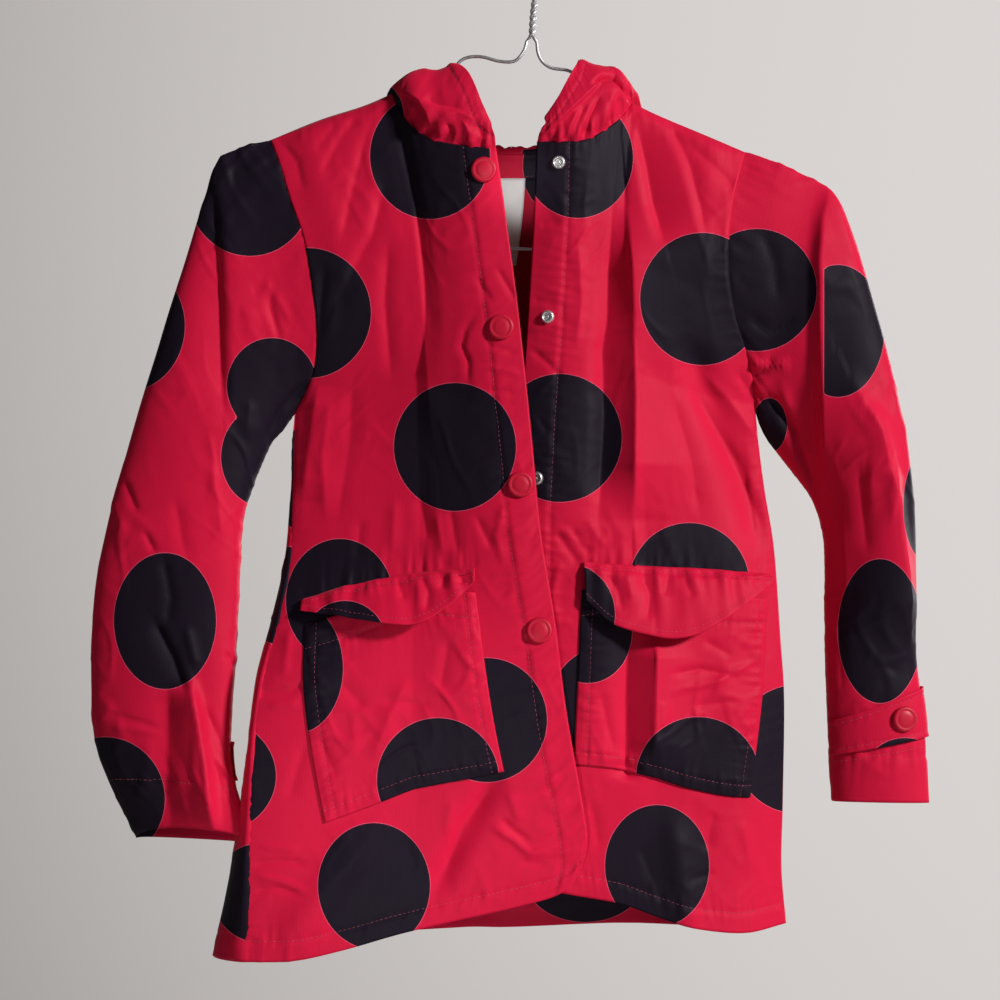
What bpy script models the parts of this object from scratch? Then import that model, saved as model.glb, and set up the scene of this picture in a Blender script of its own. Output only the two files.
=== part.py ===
"""A child's hooded rain coat on a wire hanger, one solid for each cut or fastened piece.

Lengths in the tables are millimetres. x runs to the wearer's left, z up, and depth is how far a
point stands in front of the hanger's plane. The origin is where the rail bears, inside the hook.
"""

import math
from bisect import bisect_left

import bmesh
import bpy
from mathutils import Vector

MM = 0.001
WALL = 1.2  # thickness of a cloth wall
LIFT = 1.6  # middle of a wall to the middle of the wall that lies on it
BAND_LIFT = 1.9
TAB_LIFT = 2.1
LABEL_THICKNESS = 1.0
INSET = 0.5  # a piece stops this short of the seam line that it shares
SEAM_ALLOWANCE = 1.0  # fronts and back stand this far either side of the seam line they share
CURVE_STEPS = 12  # straight pieces between two rows of a table

# The wire hanger.
WIRE = 2.2
NECK_ROD = 4.4  # the two wires of the neck, twisted together
HOOK_RADIUS = 20.1  # to the middle of the wire
HOOK_POINTS = 22
HOOK_ANGLES = (-62, 205)  # degrees from +X where the round of the hook starts and ends
ARM_POINTS = 28
BAR_POINTS = 14
TWIST_START = (-6, 0, -80)
NECK_LINE = ((-6, 0, -84), (-5.2, 0, -70), (-3.5, 0, -56), (-2, 0, -46))
HOOK_STEM = ((-3, 0, -52), (-1.5, 0, -46.5), (2, 0, -42))
# Each arm from the twist to its tip, and the bent tips, then the lower bar between them.
ARM_R = (
    TWIST_START,
    (-9, 1, -86),
    (-11, 2, -93),
    (-17, 3, -100),
    (-27, 2, -100),
    (-38, 1, -97),
    (-47, 0, -97),
    (-53, 0, -100),
    (-58, 0, -107),
    (-66, 0, -114),
    (-82, 0, -121),
    (-102, 0, -129),
    (-140, 0, -143),
    (-176, 0, -157),
    (-194, 0, -165),
    (-201, 0, -169),
    (-205, 0, -174),
    (-203, 0, -179),
    (-196, 0, -182),
)
ARM_L = (
    TWIST_START,
    (-3, 0, -86),
    (-2, 0, -94),
    (1, 0, -100),
    (7, 0, -104),
    (17, 0, -105.5),
    (24, 0, -109),
    (32, 0, -115),
    (45, 0, -124),
    (60, 0, -133),
    (100, 0, -151.5),
    (133, 0, -165.5),
    (158, 0, -176),
    (172, 0, -182),
    (180, 0, -186),
    (183.5, 0, -191),
    (181, 0, -196),
    (174, 0, -199),
)
BAR = ((-150, 1, -197), (-90, 2, -212), (-12, 3, -222), (70, 2, -218), (130, 1, -208))

# Snap fasteners.
CAP = 16.6
CAP_HEIGHT = 2.8
STUD = 8.8
STUD_HEIGHT = 3.4
SNAP_GAP = 0.35
SNAP_SIDES = 12
# Turned profiles as (radius, height), each as a share of the piece's own.
CAP_PROFILE = ((0, 0), (0.9, 0), (1, 0.25), (0.94, 0.61), (0.7, 0.89), (0.35, 1), (0, 1))
STUD_PROFILE = ((0, 0), (1, 0), (1, 0.24), (0.55, 0.35), (0.5, 0.59), (0.6, 0.82), (0.4, 1), (0, 1))

# About how large the panels are, to turn an inset into a share.
FRONT_WIDTH = 170.0
COAT_LENGTH = 500.0
SLEEVE_LENGTH = 450.0
SLEEVE_INSET = 0.8

# Shares of a panel's edges where one seam ends and the next begins.
UNDERARM = 0.655
NECK_POINT = 0.5
BACK_SHOULDER = 0.22

# ---------------------------------------------------------------- seam lines (x, depth, z)

NECK_R = (
    (-29, 26, -160),
    (-49, 25, -158),
    (-68, 21, -154),
    (-80, 16, -147),
    (-89, 10, -137),
    (-97, 0, -121),
)
NECK_L = (
    (-3, 22, -155),
    (16, 24, -155),
    (30, 21, -153),
    (41, 15, -146),
    (51, 9, -138),
    (60, 0, -127),
)
NECK_BACK = (
    (-97, 0, -121),
    (-90, -6, -131),
    (-80, -9, -139),
    (-66, -12, -147),
    (-43, -14, -153),
    (-19, -15, -155),
    (8, -14, -153),
    (30, -12, -148),
    (44, -9, -141),
    (54, -6, -134),
    (60, 0, -127),
)
SHOULDER_R = ((-97, 0, -121), (-116, 0, -129), (-144, 0, -138), (-176, 0, -151))
SHOULDER_L = ((60, 0, -127), (74, 0, -134), (100, 0, -145), (133, 0, -159))

ARMHOLE_R_FRONT = (
    (-160, 1, -328),
    (-152, 7, -314),
    (-146, 12, -296),
    (-145, 15, -272),
    (-148, 16, -246),
    (-153, 15, -217),
    (-162, 12, -191),
    (-170, 7, -166),
    (-176, 0, -151),
)
ARMHOLE_R_BACK = (
    (-160, 1, -328),
    (-158, -6, -310),
    (-156, -10, -287),
    (-156, -12, -260),
    (-159, -13, -234),
    (-163, -12, -208),
    (-168, -9, -182),
    (-173, -5, -162),
    (-176, 0, -151),
)
ARMHOLE_L_FRONT = (
    (139, 1, -323),
    (137, 6, -307),
    (132, 11, -288),
    (125, 15, -266),
    (121, 17, -240),
    (121, 16, -215),
    (124, 12, -191),
    (129, 6, -172),
    (133, 0, -159),
)
ARMHOLE_L_BACK = (
    (139, 1, -323),
    (137, -6, -303),
    (135, -10, -280),
    (133, -12, -254),
    (132, -13, -228),
    (132, -12, -205),
    (132, -9, -182),
    (132, -5, -168),
    (133, 0, -159),
)
SIDE_R = (
    (-189, 24, -676),
    (-187, 23, -606),
    (-184, 22, -545),
    (-179, 21, -500),
    (-169, 19, -462),
    (-162, 15, -423),
    (-161, 10, -385),
    (-161, 5, -352),
    (-160, 1, -328),
)
SIDE_L = (
    (158, 1, -658),
    (155, 1, -622),
    (156, 1, -580),
    (157, 1, -515),
    (155, 1, -476),
    (151, 1, -417),
    (145, 1, -378),
    (141, 1, -346),
    (139, 1, -323),
)

# Free edges of the two fronts, from the hem up.
EDGE_R = (
    (23, 53, -620),
    (28, 55, -602),
    (26, 55, -580),
    (15, 54, -517),
    (8, 51, -461),
    (-1, 46, -404),
    (-7, 40, -340),
    (-15, 33, -264),
    (-23, 28, -203),
    (-29, 26, -160),
)
EDGE_L = (
    (-8, 40, -629),
    (-12, 40, -593),
    (-15, 40, -536),
    (-17, 37, -468),
    (-17, 33, -404),
    (-14, 28, -340),
    (-9, 24, -269),
    (-5, 22, -206),
    (-3, 22, -155),
)
HEM_R = (
    (23, 53, -620),
    (11, 53, -632),
    (-14, 53, -640),
    (-83, 52, -656),
    (-125, 46, -668),
    (-157, 38, -675),
    (-189, 24, -676),
)
HEM_L = (
    (-8, 40, -629),
    (14, 41, -634),
    (49, 43, -640),
    (74, 42, -649),
    (100, 38, -657),
    (130, 25, -661),
    (158, 1, -658),
)
HEM_BACK = (
    (-189, 0, -676),
    (-158, 0, -676),
    (-86, 0, -669),
    (-15, 0, -667),
    (53, 0, -664),
    (118, 0, -664),
    (158, 0, -658),
)

# The back is deepest along its centre. Its right side turns forward to the side seam, and stands
# this far past that seam.
BACK_SHAPE = (
    # share of the height, depth at the centre, turn past the side seam
    (0.00, 27, 20),
    (0.12, 26, 13),
    (0.25, 25, 9),
    (0.42, 24, 9),
    (0.54, 22, 7),
    (0.655, 20, 1),
    (0.80, 19, 0),
    (0.92, 16, 0),
    (1.00, 14, 0),
)
TURN_SHARE = 0.045
SHOULDER_ROLL = 4.0  # how fast the front comes forward just under the shoulder seam
FRONT_FULLNESS = 11.0

BACK_COLUMNS = 26
BACK_POWER = 1.3
BAND_COLUMNS = (9, 21)  # the neck band lies between these columns of the back

# ---------------------------------------------------------------- sleeves
# Each row is one height down the sleeve: the upper edge, the under edge, and how far the cloth
# stands in front of and behind the line between them.
SLEEVE_R = (
    # share, upper x, depth, z, under x, depth, z, front, back
    (0.00, -176, 0, -151, -160, 1, -328, 15, 13),
    (0.05, -196, 1, -157, -164, 1, -334, 14, 13),
    (0.09, -209, 2, -164, -169, 2, -341, 14, 13),
    (0.14, -217, 3, -185, -175, 3, -348, 15, 13),
    (0.22, -228, 4, -221, -182, 4, -364, 16, 13),
    (0.32, -241, 5, -263, -189, 6, -382, 17, 13),
    (0.42, -255, 6, -310, -194, 8, -405, 17, 13),
    (0.52, -269, 7, -358, -195, 10, -436, 17, 13),
    (0.62, -281, 8, -404, -196, 12, -464, 17, 13),
    (0.72, -289, 9, -452, -197, 16, -492, 16, 13),
    (0.82, -290, 11, -505, -199, 20, -524, 15, 12),
    (0.91, -285, 13, -550, -198, 27, -558, 13, 10),
    (1.00, -260, 16, -602, -185, 36, -603, 10, 8),
)
SLEEVE_L = (
    # share, upper x, depth, z, under x, depth, z, front, back
    (0.00, 133, 0, -159, 139, 1, -323, 16, 13),
    (0.05, 157, 1, -168, 142, -1, -335, 16, 14),
    (0.09, 179, 1, -178, 147, -2, -345, 16, 14),
    (0.14, 191, 2, -188, 156, -2, -357, 17, 14),
    (0.22, 203, 3, -217, 166, -1, -370, 18, 15),
    (0.32, 214, 4, -254, 177, 1, -387, 19, 16),
    (0.42, 226, 5, -298, 183, 3, -408, 19, 17),
    (0.52, 236, 6, -345, 184, 4, -432, 19, 17),
    (0.62, 241, 7, -392, 184, 5, -458, 19, 17),
    (0.72, 242, 8, -440, 184, 6, -486, 19, 17),
    (0.82, 242, 8, -484, 185, 7, -513, 18, 16),
    (0.91, 247, 9, -529, 186, 8, -544, 17, 15),
    (1.00, 250, 10, -580, 188, 9, -579, 15, 13),
)
CUFF_RISE_R = 9.0
CUFF_RISE_L = 1.0

# ---------------------------------------------------------------- hood
# Each row is one way from the neck seam to the face edge: up, over the wire, down behind, and up
# again to the rim. The share is how far along the half neckline it starts, from the front edge.
HOOD_R = (
    # share, then (x, depth, z) of rise, ridge, fall, return and rim
    (0.00, (-29.5, 27, -156), (-30, 27, -152), (-31, 27, -149), (-32, 27, -146), (-33, 26, -143)),
    (0.12, (-48, 27, -151), (-46, 27, -146), (-44, 27, -141), (-41, 26, -136), (-38, 24, -131)),
    (0.25, (-66, 25, -143), (-61, 24, -132), (-56, 21, -122), (-51, 17, -113), (-48, 14, -108)),
    (0.36, (-79, 19, -129), (-70, 13, -115), (-62, 7, -106), (-59, 2, -102), (-60, -5, -102)),
    (0.42, (-85, 12, -117), (-74, 5, -107), (-68, -5, -106), (-66, -14, -111), (-64, -20, -117)),
    (0.50, (-93, 3, -114), (-85, 0, -109), (-79, -10, -112), (-75, -22, -121), (-70, -31, -131)),
    (0.60, (-99, -9, -123), (-103, -20, -136), (-98, -34, -160), (-88, -43, -158), (-76, -44, -146)),
    (0.75, (-78, -18, -148), (-92, -26, -188), (-87, -40, -240), (-76, -54, -204), (-58, -53, -164)),
    (0.88, (-48, -20, -155), (-57, -29, -210), (-56, -43, -270), (-50, -59, -226), (-38, -58, -180)),
    (1.00, (-19, -21, -157), (-19, -30, -215), (-19, -45, -278), (-19, -61, -232), (-19, -60, -187)),
)
HOOD_L = (
    # share, then (x, depth, z) of rise, ridge, fall, return and rim
    (0.00, (-2, 24, -152), (-1, 25, -149), (1, 25, -146), (2.5, 25, -143), (4, 24, -140)),
    (0.12, (16, 26, -148), (15, 26, -142), (13, 25, -136), (12, 23, -130), (12, 21, -125)),
    (0.25, (34, 23, -140), (30, 21, -129), (26, 18, -119), (22, 15, -111), (21, 13, -106)),
    (0.36, (45, 17, -126), (38, 13, -112), (31, 8, -104), (27, 3, -100), (27, -4, -100)),
    (0.42, (51, 12, -118), (44, 5, -106), (38, -5, -103), (35, -14, -108), (32, -20, -114)),
    (0.50, (58, 4, -118), (53, 0, -108), (46, -10, -110), (40, -22, -119), (34, -31, -129)),
    (0.60, (63, -9, -128), (66, -20, -139), (60, -34, -161), (50, -43, -158), (39, -44, -146)),
    (0.75, (41, -18, -149), (54, -26, -189), (49, -40, -240), (38, -54, -204), (21, -53, -164)),
    (0.88, (11, -20, -155), (19, -29, -210), (18, -43, -270), (12, -59, -226), (1, -58, -180)),
    (1.00, (-19, -21, -157), (-19, -30, -215), (-19, -45, -278), (-19, -61, -232), (-19, -60, -187)),
)
HOOD_ABOVE_SEAM = 0.9
HOOD_BEHIND_SEAM = 3.0
GATHER_HEIGHT = 1.3
GATHERS = 7  # along the front of the neckline on each side

# ---------------------------------------------------------------- pieces on the panels
# Corners as (x, z): top at the edge, top at the side, bottom at the side, bottom at the edge.
POCKET_R = ((-42, -443), (-150, -464), (-137, -588), (-24, -555))
POCKET_L = ((25, -442), (146, -448), (133, -575), (20, -552))
POCKET_LIFT = 2.4
POCKET_GAPE = 1.2
FLAP_R_TOP = ((-42, -428), (-77, -431), (-115, -438), (-152, -448))
FLAP_R_LOW = ((-42, -436), (-58, -453), (-84, -465), (-152, -456))
FLAP_L_TOP = ((26, -424), (66, -427), (106, -429), (147, -433))
FLAP_L_LOW = ((27, -448), (48, -466), (92, -472), (147, -438))
FLAP_OVER = 3.4  # a flap clears the mouth of its pocket by this
FLAP_STAND = 8.0
CAPS_R = ((-37, -174), (-26, -275), (-14, -375), (-2, -467))
STUDS_L = ((11, -169), (4, -268), (-3, -371), (-2, -467))
CUFF_CAP_L = (232, -530)
LABEL_WIDTH = 24.0
LABEL_DROP = 57.0
LABEL_TOP_Z = -174.0
LABEL_X = -22.0
TAB_ROWS = (0.865, 0.925)
TAB_R_ROUND = (0.5, 0.95)  # how far round the sleeve each tab runs, from the upper edge
TAB_L_ROUND = (-0.05, 0.45)
CUFF_CAP_R_ROUND = 0.78
BAND_ROWS = (0.957, 0.993)

# ---------------------------------------------------------------- the largest folds
# piece, from (x, z) to (x, z), half width, height (under 0 for a trough)
FOLDS = (
    ("front_r", (-70, -205), (-69, -312), 10, -7),
    ("front_r", (-54, -208), (-54, -330), 9, 5),
    ("front_r", (-66, -330), (-76, -410), 12, -4),
    ("front_r", (-108, -192), (-135, -262), 8, -3),
    ("front_r", (-35, -568), (-63, -620), 8, -4),
    ("front_r", (-120, -610), (-150, -650), 12, 3),
    ("front_l", (51, -212), (52, -400), 11, -9),
    ("front_l", (33, -214), (34, -395), 9, 5),
    ("front_l", (71, -150), (93, -214), 8, -4),
    ("front_l", (100, -300), (138, -397), 10, -5),
    ("front_l", (86, -606), (92, -645), 10, 4),
    ("back", (-95, -215), (-80, -430), 13, -6),
    ("back", (48, -300), (66, -600), 14, -7),
    ("back", (-30, -420), (-45, -655), 14, 6),
    ("back", (100, -240), (120, -420), 11, 4),
    ("back", (-140, -380), (-150, -640), 12, -5),
    ("sleeve_r", (-200, -190), (-196, -345), 9, -6),
    ("sleeve_r", (-250, -438), (-232, -508), 8, -5),
    ("sleeve_r", (-228, -508), (-222, -590), 11, -5),
    ("sleeve_l", (176, -195), (180, -385), 8, -8),
    ("sleeve_l", (228, -290), (231, -460), 9, 4),
)


# ---------------------------------------------------------------- lines and surfaces


def place(x, depth, z):
    """A table's (x, depth, z) as a point: the front faces -Y."""
    return Vector((x, -depth, z))


def smooth_line(rows):
    """A smooth line through (x, depth, z) rows, read by its share of length from 0 to 1."""
    points = [place(*row) for row in rows]
    ends = [2 * points[0] - points[1], *points, 2 * points[-1] - points[-2]]
    fine = []
    for a, b, c, d in zip(ends, ends[1:], ends[2:], ends[3:]):
        for step in range(CURVE_STEPS):
            t = step / CURVE_STEPS
            cubic = (3 * b - a - 3 * c + d) * t**3 + (2 * a - 5 * b + 4 * c - d) * t * t
            fine.append(0.5 * (cubic + (c - a) * t + 2 * b))
    fine.append(points[-1])
    reach = [0.0]
    for a, b in zip(fine, fine[1:]):
        reach.append(reach[-1] + (b - a).length)

    def at(share):
        goal = min(max(share, 0.0), 1.0) * reach[-1]
        i = min(max(bisect_left(reach, goal), 1), len(fine) - 1)
        return fine[i - 1].lerp(fine[i], (goal - reach[i - 1]) / (reach[i] - reach[i - 1]))

    return at


def reverse(line):
    return lambda share: line(1 - share)


def moved(line, depth=0.0, up=0.0):
    shift = place(0, depth, up)
    return lambda share: line(share) + shift


def chain(*parts):
    """One line from several: each (line, start, end) covers its own share."""

    def at(share):
        for line, start, end in parts:
            if share <= end:
                break
        return line((share - start) / (end - start))

    return at


def patch(bottom, top, first, last):
    """The smooth surface between four lines, s from first to last and t from bottom to top."""
    low, high = (bottom(0), bottom(1)), (top(0), top(1))

    def at(s, t):
        across = first(t).lerp(last(t), s)
        upward = bottom(s).lerp(top(s), t)
        corners = low[0].lerp(low[1], s).lerp(high[0].lerp(high[1], s), t)
        return across + upward - corners

    return at


def column(rows, index, share):
    """One column of a table of shares, read smoothly between its rows."""
    for i in range(len(rows) - 1):
        if share <= rows[i + 1][0]:
            break
    a, b = rows[i], rows[i + 1]
    before, after = rows[max(i - 1, 0)], rows[min(i + 2, len(rows) - 1)]
    span = b[0] - a[0]
    t = (share - a[0]) / span
    slope_a = (b[index] - before[index]) / (b[0] - before[0]) * span
    slope_b = (after[index] - a[index]) / (after[0] - a[0]) * span
    ease = t * t * (3 - 2 * t)
    bend = (t**3 - 2 * t * t + t) * slope_a + (t**3 - t * t) * slope_b
    return a[index] + (b[index] - a[index]) * ease + bend


def fold_height(piece, x, z):
    """How far the folds of a piece lift or sink it at one place."""
    total = 0.0
    for name, (x0, z0), (x1, z1), width, height in FOLDS:
        if name != piece:
            continue
        run_x, run_z = x1 - x0, z1 - z0
        length = math.hypot(run_x, run_z)
        along = ((x - x0) * run_x + (z - z0) * run_z) / length
        off = ((x - x0) * run_z - (z - z0) * run_x) / length
        past = max(-along, along - length, 0.0)
        total += height * math.exp(-((off / width) ** 2) - (past / (1.6 * width)) ** 2)
    return total


def normal_at(surface, s, t, step=1e-3):
    """The surface's normal on its -Y side."""
    a = surface(min(s + step, 1), t) - surface(max(s - step, 0), t)
    b = surface(s, min(t + step, 1)) - surface(s, max(t - step, 0))
    n = a.cross(b).normalized()
    return n if n.y < 0 else -n


def find(surface, x, z, s=0.5, t=0.5, step=1e-4):
    """The (s, t) of a panel at one place as seen from the front."""
    for _ in range(14):
        p = surface(s, t)
        ds = (surface(s + step, t) - p) / step
        dt = (surface(s, t + step) - p) / step
        off_x, off_z = x - p.x, z - p.z
        area = ds.x * dt.z - ds.z * dt.x
        s = min(max(s + (off_x * dt.z - off_z * dt.x) / area, 0.001), 0.998)
        t = min(max(t + (ds.x * off_z - ds.z * off_x) / area, 0.001), 0.998)
    return s, t


# ---------------------------------------------------------------- the coat's surfaces


def front_surface(piece, edge, hem, side, armhole, neck, shoulder):
    """A front panel: s from its free edge to the side, t from the hem to the shoulder."""
    top = chain((smooth_line(neck), 0, NECK_POINT), (smooth_line(shoulder), NECK_POINT, 1))
    last = chain((smooth_line(side), 0, UNDERARM), (smooth_line(armhole), UNDERARM, 1))
    lines = (smooth_line(hem), top, smooth_line(edge), last)
    base = patch(*(moved(line, SEAM_ALLOWANCE) for line in lines))
    end_s, end_t = 1 - INSET / FRONT_WIDTH, 1 - INSET / COAT_LENGTH

    def at(s, t):
        s, t = s * end_s, t * end_t
        p = base(s, t)
        bulge = FRONT_FULLNESS * math.sin(math.pi * s) * math.sin(math.pi * t**1.6)
        on_shoulder = min(max((s - 0.4) * 8, 0), 1) * min((1 - s) * 30, 1)
        roll = SHOULDER_ROLL * on_shoulder * min((1 - t) * 90, 1)
        inside = min(s * 25, (1 - s) * 14, 1) * min((1 - t) * 12, 1)
        p.y -= bulge + roll + fold_height(piece, p.x, p.z) * inside
        return p

    return at


def back_surface():
    """The back: s from the right side seam to the left one, t from the hem to the neck."""
    top = chain(
        (reverse(smooth_line(SHOULDER_R)), 0, BACK_SHOULDER),
        (smooth_line(NECK_BACK), BACK_SHOULDER, 1 - BACK_SHOULDER),
        (smooth_line(SHOULDER_L), 1 - BACK_SHOULDER, 1),
    )
    side_r = smooth_line([(x, 1, z) for x, _, z in SIDE_R])
    first = chain((side_r, 0, UNDERARM), (smooth_line(ARMHOLE_R_BACK), UNDERARM, 1))
    last = chain((smooth_line(SIDE_L), 0, UNDERARM), (smooth_line(ARMHOLE_L_BACK), UNDERARM, 1))
    base = patch(smooth_line(HEM_BACK), top, first, last)
    seam_r = smooth_line(SIDE_R)
    inset_s, end_t = INSET / (2 * FRONT_WIDTH), 1 - INSET / COAT_LENGTH

    def at(s, t):
        s, t = inset_s + s * (1 - 2 * inset_s), t * end_t
        p = base(s, t)
        sides = first(t).lerp(last(t), s).y
        full = (1 - abs(2 * s - 1) ** 2.6) ** 0.75
        near_top = max(0.0, (t - 0.9) / 0.1) ** 2
        body = sides * (1 - full) + column(BACK_SHAPE, 1, t) * full
        p.y = body + (top(s).y - body) * near_top + SEAM_ALLOWANCE
        if t < UNDERARM:
            near = s / TURN_SHARE
            width = last(t).x - first(t).x
            turn = column(BACK_SHAPE, 2, t) * (1 + TURN_SHARE * width / 20)
            p.x -= turn * near * math.exp(0.5 - near * near / 2)
            seam_depth = -seam_r(t / UNDERARM).y
            p.y -= (seam_depth + SEAM_ALLOWANCE) * math.exp(-near * near)
        inside = min(s * 14, (1 - s) * 14, 1) * min((1 - t) * 12, 1)
        p.y += fold_height("back", p.x, p.z) * inside
        return p

    return at


def sleeve_surface(piece, rows, armhole_front, armhole_back, cuff_rise):
    """A sleeve: s once round from the upper edge across the front, t from the armhole to the cuff."""
    front, back = smooth_line(armhole_front), smooth_line(armhole_back)
    start = SLEEVE_INSET / SLEEVE_LENGTH

    def ring(angle, t):
        down = (1 - math.cos(angle)) / 2
        upper = place(*(column(rows, i, t) for i in (1, 2, 3)))
        under = place(*(column(rows, i, t) for i in (4, 5, 6)))
        p = upper.lerp(under, down)
        out = math.sin(angle)
        stand = column(rows, 7 if out > 0 else 8, t)
        p.y -= stand * math.copysign(abs(out) ** 0.8, out)
        return p

    def at(s, t):
        t = start + t * (1 - start)
        angle = 2 * math.pi * s
        down = (1 - math.cos(angle)) / 2
        p = ring(angle, t)
        hold = max(0.0, 1 - t / 0.3) ** 2
        seam = front(1 - down) if math.sin(angle) >= 0 else back(1 - down)
        p += (seam - ring(angle, 0)) * hold
        facing = max(0.0, math.sin(angle))
        p.z += cuff_rise * facing * t**10
        p.y -= fold_height(piece, p.x, p.z) * facing * min(t * 9, 1)
        return p

    return at


def hood_surface(rows, neck, side):
    """Half the hood: s from the front edge to the centre seam, t from the neck to the rim."""
    start = smooth_line(neck)
    back = smooth_line(NECK_BACK)
    behind = back if side < 0 else reverse(back)
    half_behind = moved(lambda share: behind(share / 2), -HOOD_BEHIND_SEAM)
    seam = chain((moved(start, SEAM_ALLOWANCE), 0, NECK_POINT), (half_behind, NECK_POINT, 1))
    neckline = moved(seam, 0, HOOD_ABOVE_SEAM)

    def station(s):
        points = [neckline(s)]
        for stop in range(1, 6):
            flat = [(row[0], *row[stop]) for row in rows]
            points.append(place(*(column(flat, i, s) for i in (1, 2, 3))))
        return [(p.x, -p.y, p.z) for p in points]

    def at(s, t):
        line = smooth_line(station(s))
        p = line(t)
        p.x += side * INSET * s**20
        waves = math.sin(2 * math.pi * GATHERS * s / 0.5) if s < 0.5 else 0.0
        p.y -= GATHER_HEIGHT * waves * math.exp(-(((t - 0.12) / 0.13) ** 2)) * min(s * 20, 1)
        return p

    return at


# ---------------------------------------------------------------- making solids


def material(name, colour, roughness, metallic=0.0):
    made = bpy.data.materials.new(name)
    made.use_nodes = True
    shader = made.node_tree.nodes["Principled BSDF"]
    shader.inputs["Base Color"].default_value = (*colour, 1)
    shader.inputs["Roughness"].default_value = roughness
    shader.inputs["Metallic"].default_value = metallic
    return made


def clear_scene():
    for old in list(bpy.data.objects):
        bpy.data.objects.remove(old)


def collection():
    made = bpy.data.collections.new("raincoat_on_hanger")
    bpy.context.scene.collection.children.link(made)
    return made


def keep(name, mesh, finish):
    made = bpy.data.objects.new(name, mesh)
    mesh.materials.append(finish)
    COAT.objects.link(made)
    return made


def wall(name, surface, columns, rows, finish, closed=False, thickness=WALL):
    """A cloth wall: a grid laid on a surface and given its thickness."""
    bm = bmesh.new()
    bmesh.ops.create_grid(bm, x_segments=columns, y_segments=rows, size=0.5)
    for v in bm.verts:
        v.co = surface(v.co.x + 0.5, v.co.y + 0.5) * MM
    if closed:
        bmesh.ops.remove_doubles(bm, verts=bm.verts, dist=1e-6)
    mesh = bpy.data.meshes.new(name)
    bm.to_mesh(mesh)
    bm.free()
    mesh.shade_smooth()
    made = keep(name, mesh, finish)
    solid = made.modifiers.new("wall", "SOLIDIFY")
    solid.thickness = thickness * MM
    solid.offset = 0.0
    return made


def spread(surface, columns_power=1.0, rows_power=1.18):
    """The same surface with its rows closer near the shoulder and its columns near the side turn."""
    return lambda s, t: surface(s**columns_power, 1 - (1 - t) ** rows_power)


def laid_on(panel, corners, out):
    """A surface on a panel between four corners, moved out by out(a, b)."""
    (s0, t0), (s1, t1), (s2, t2), (s3, t3) = (find(panel, x, z) for x, z in corners)

    def at(a, b):
        s = (s0 + (s1 - s0) * a) * b + (s3 + (s2 - s3) * a) * (1 - b)
        t = (t0 + (t1 - t0) * a) * b + (t3 + (t2 - t3) * a) * (1 - b)
        return panel(s, t) + normal_at(panel, s, t) * out(a, b)

    return at


def hung_between(panel, top, low, out):
    """A surface whose upper and lower edges are (x, z) tables on a panel, moved out by out(a, b)."""
    upper = smooth_line([(x, 0, z) for x, z in top])
    lower = smooth_line([(x, 0, z) for x, z in low])

    def at(a, b):
        goal = upper(a).lerp(lower(a), 1 - b)
        s, t = find(panel, goal.x, goal.z)
        return panel(s, t) + normal_at(panel, s, t) * out(a, b)

    return at


def round_piece(name, profile, finish, centre, axis):
    """A turned piece from a (radius, height) profile, its base at centre and its axis outward."""
    bm = bmesh.new()
    verts = [bm.verts.new((radius * MM, 0, height * MM)) for radius, height in profile]
    for a, b in zip(verts, verts[1:]):
        bm.edges.new((a, b))
    rim = [*bm.verts, *bm.edges]
    up, turn = (0, 0, 1), 2 * math.pi
    bmesh.ops.spin(bm, geom=rim, axis=up, angle=turn, steps=SNAP_SIDES, use_merge=True)
    bmesh.ops.remove_doubles(bm, verts=bm.verts, dist=1e-6)
    bmesh.ops.recalc_face_normals(bm, faces=bm.faces)
    mesh = bpy.data.meshes.new(name)
    bm.to_mesh(mesh)
    bm.free()
    mesh.shade_smooth()
    made = keep(name, mesh, finish)
    made.location = centre * MM
    made.rotation_mode = "QUATERNION"
    made.rotation_quaternion = axis.to_track_quat("Z", "Y")
    return made


def cap(name, centre, axis):
    profile = [(r * CAP / 2, h * CAP_HEIGHT) for r, h in CAP_PROFILE]
    return round_piece(name, profile, ENAMEL, centre, axis)


def stud(name, centre, axis):
    profile = [(r * STUD / 2, h * STUD_HEIGHT) for r, h in STUD_PROFILE]
    return round_piece(name, profile, BRIGHT, centre, axis)


def snap_on(make, name, surface, x, z):
    """A cap or stud on the outer face of a front, at one place as seen from the front."""
    s, t = find(surface, x, z, 0.08)
    out = normal_at(surface, s, t)
    return make(name, surface(s, t) + out * (WALL / 2 + SNAP_GAP), out)


def wire_tube(name, points, thickness, cyclic=False):
    """A round bar along a list of points, as a mesh object with welded caps."""
    curve = bpy.data.curves.new(name, "CURVE")
    curve.dimensions = "3D"
    curve.bevel_depth = thickness / 2 * MM
    curve.bevel_resolution = 1
    curve.use_fill_caps = True
    curve.render_resolution_u = 0
    spline = curve.splines.new("POLY")
    spline.points.add(len(points) - 1)
    for point, p in zip(spline.points, points):
        point.co = (*(p * MM), 1)
    spline.use_cyclic_u = cyclic
    guide = bpy.data.objects.new(name + "_guide", curve)
    COAT.objects.link(guide)
    evaluated = guide.evaluated_get(bpy.context.evaluated_depsgraph_get())
    mesh = bpy.data.meshes.new_from_object(evaluated)
    bpy.data.objects.remove(guide)
    bm = bmesh.new()
    bm.from_mesh(mesh)
    bmesh.ops.remove_doubles(bm, verts=bm.verts, dist=1e-6)
    bmesh.ops.recalc_face_normals(bm, faces=bm.faces)
    bm.to_mesh(mesh)
    bm.free()
    return mesh


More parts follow.
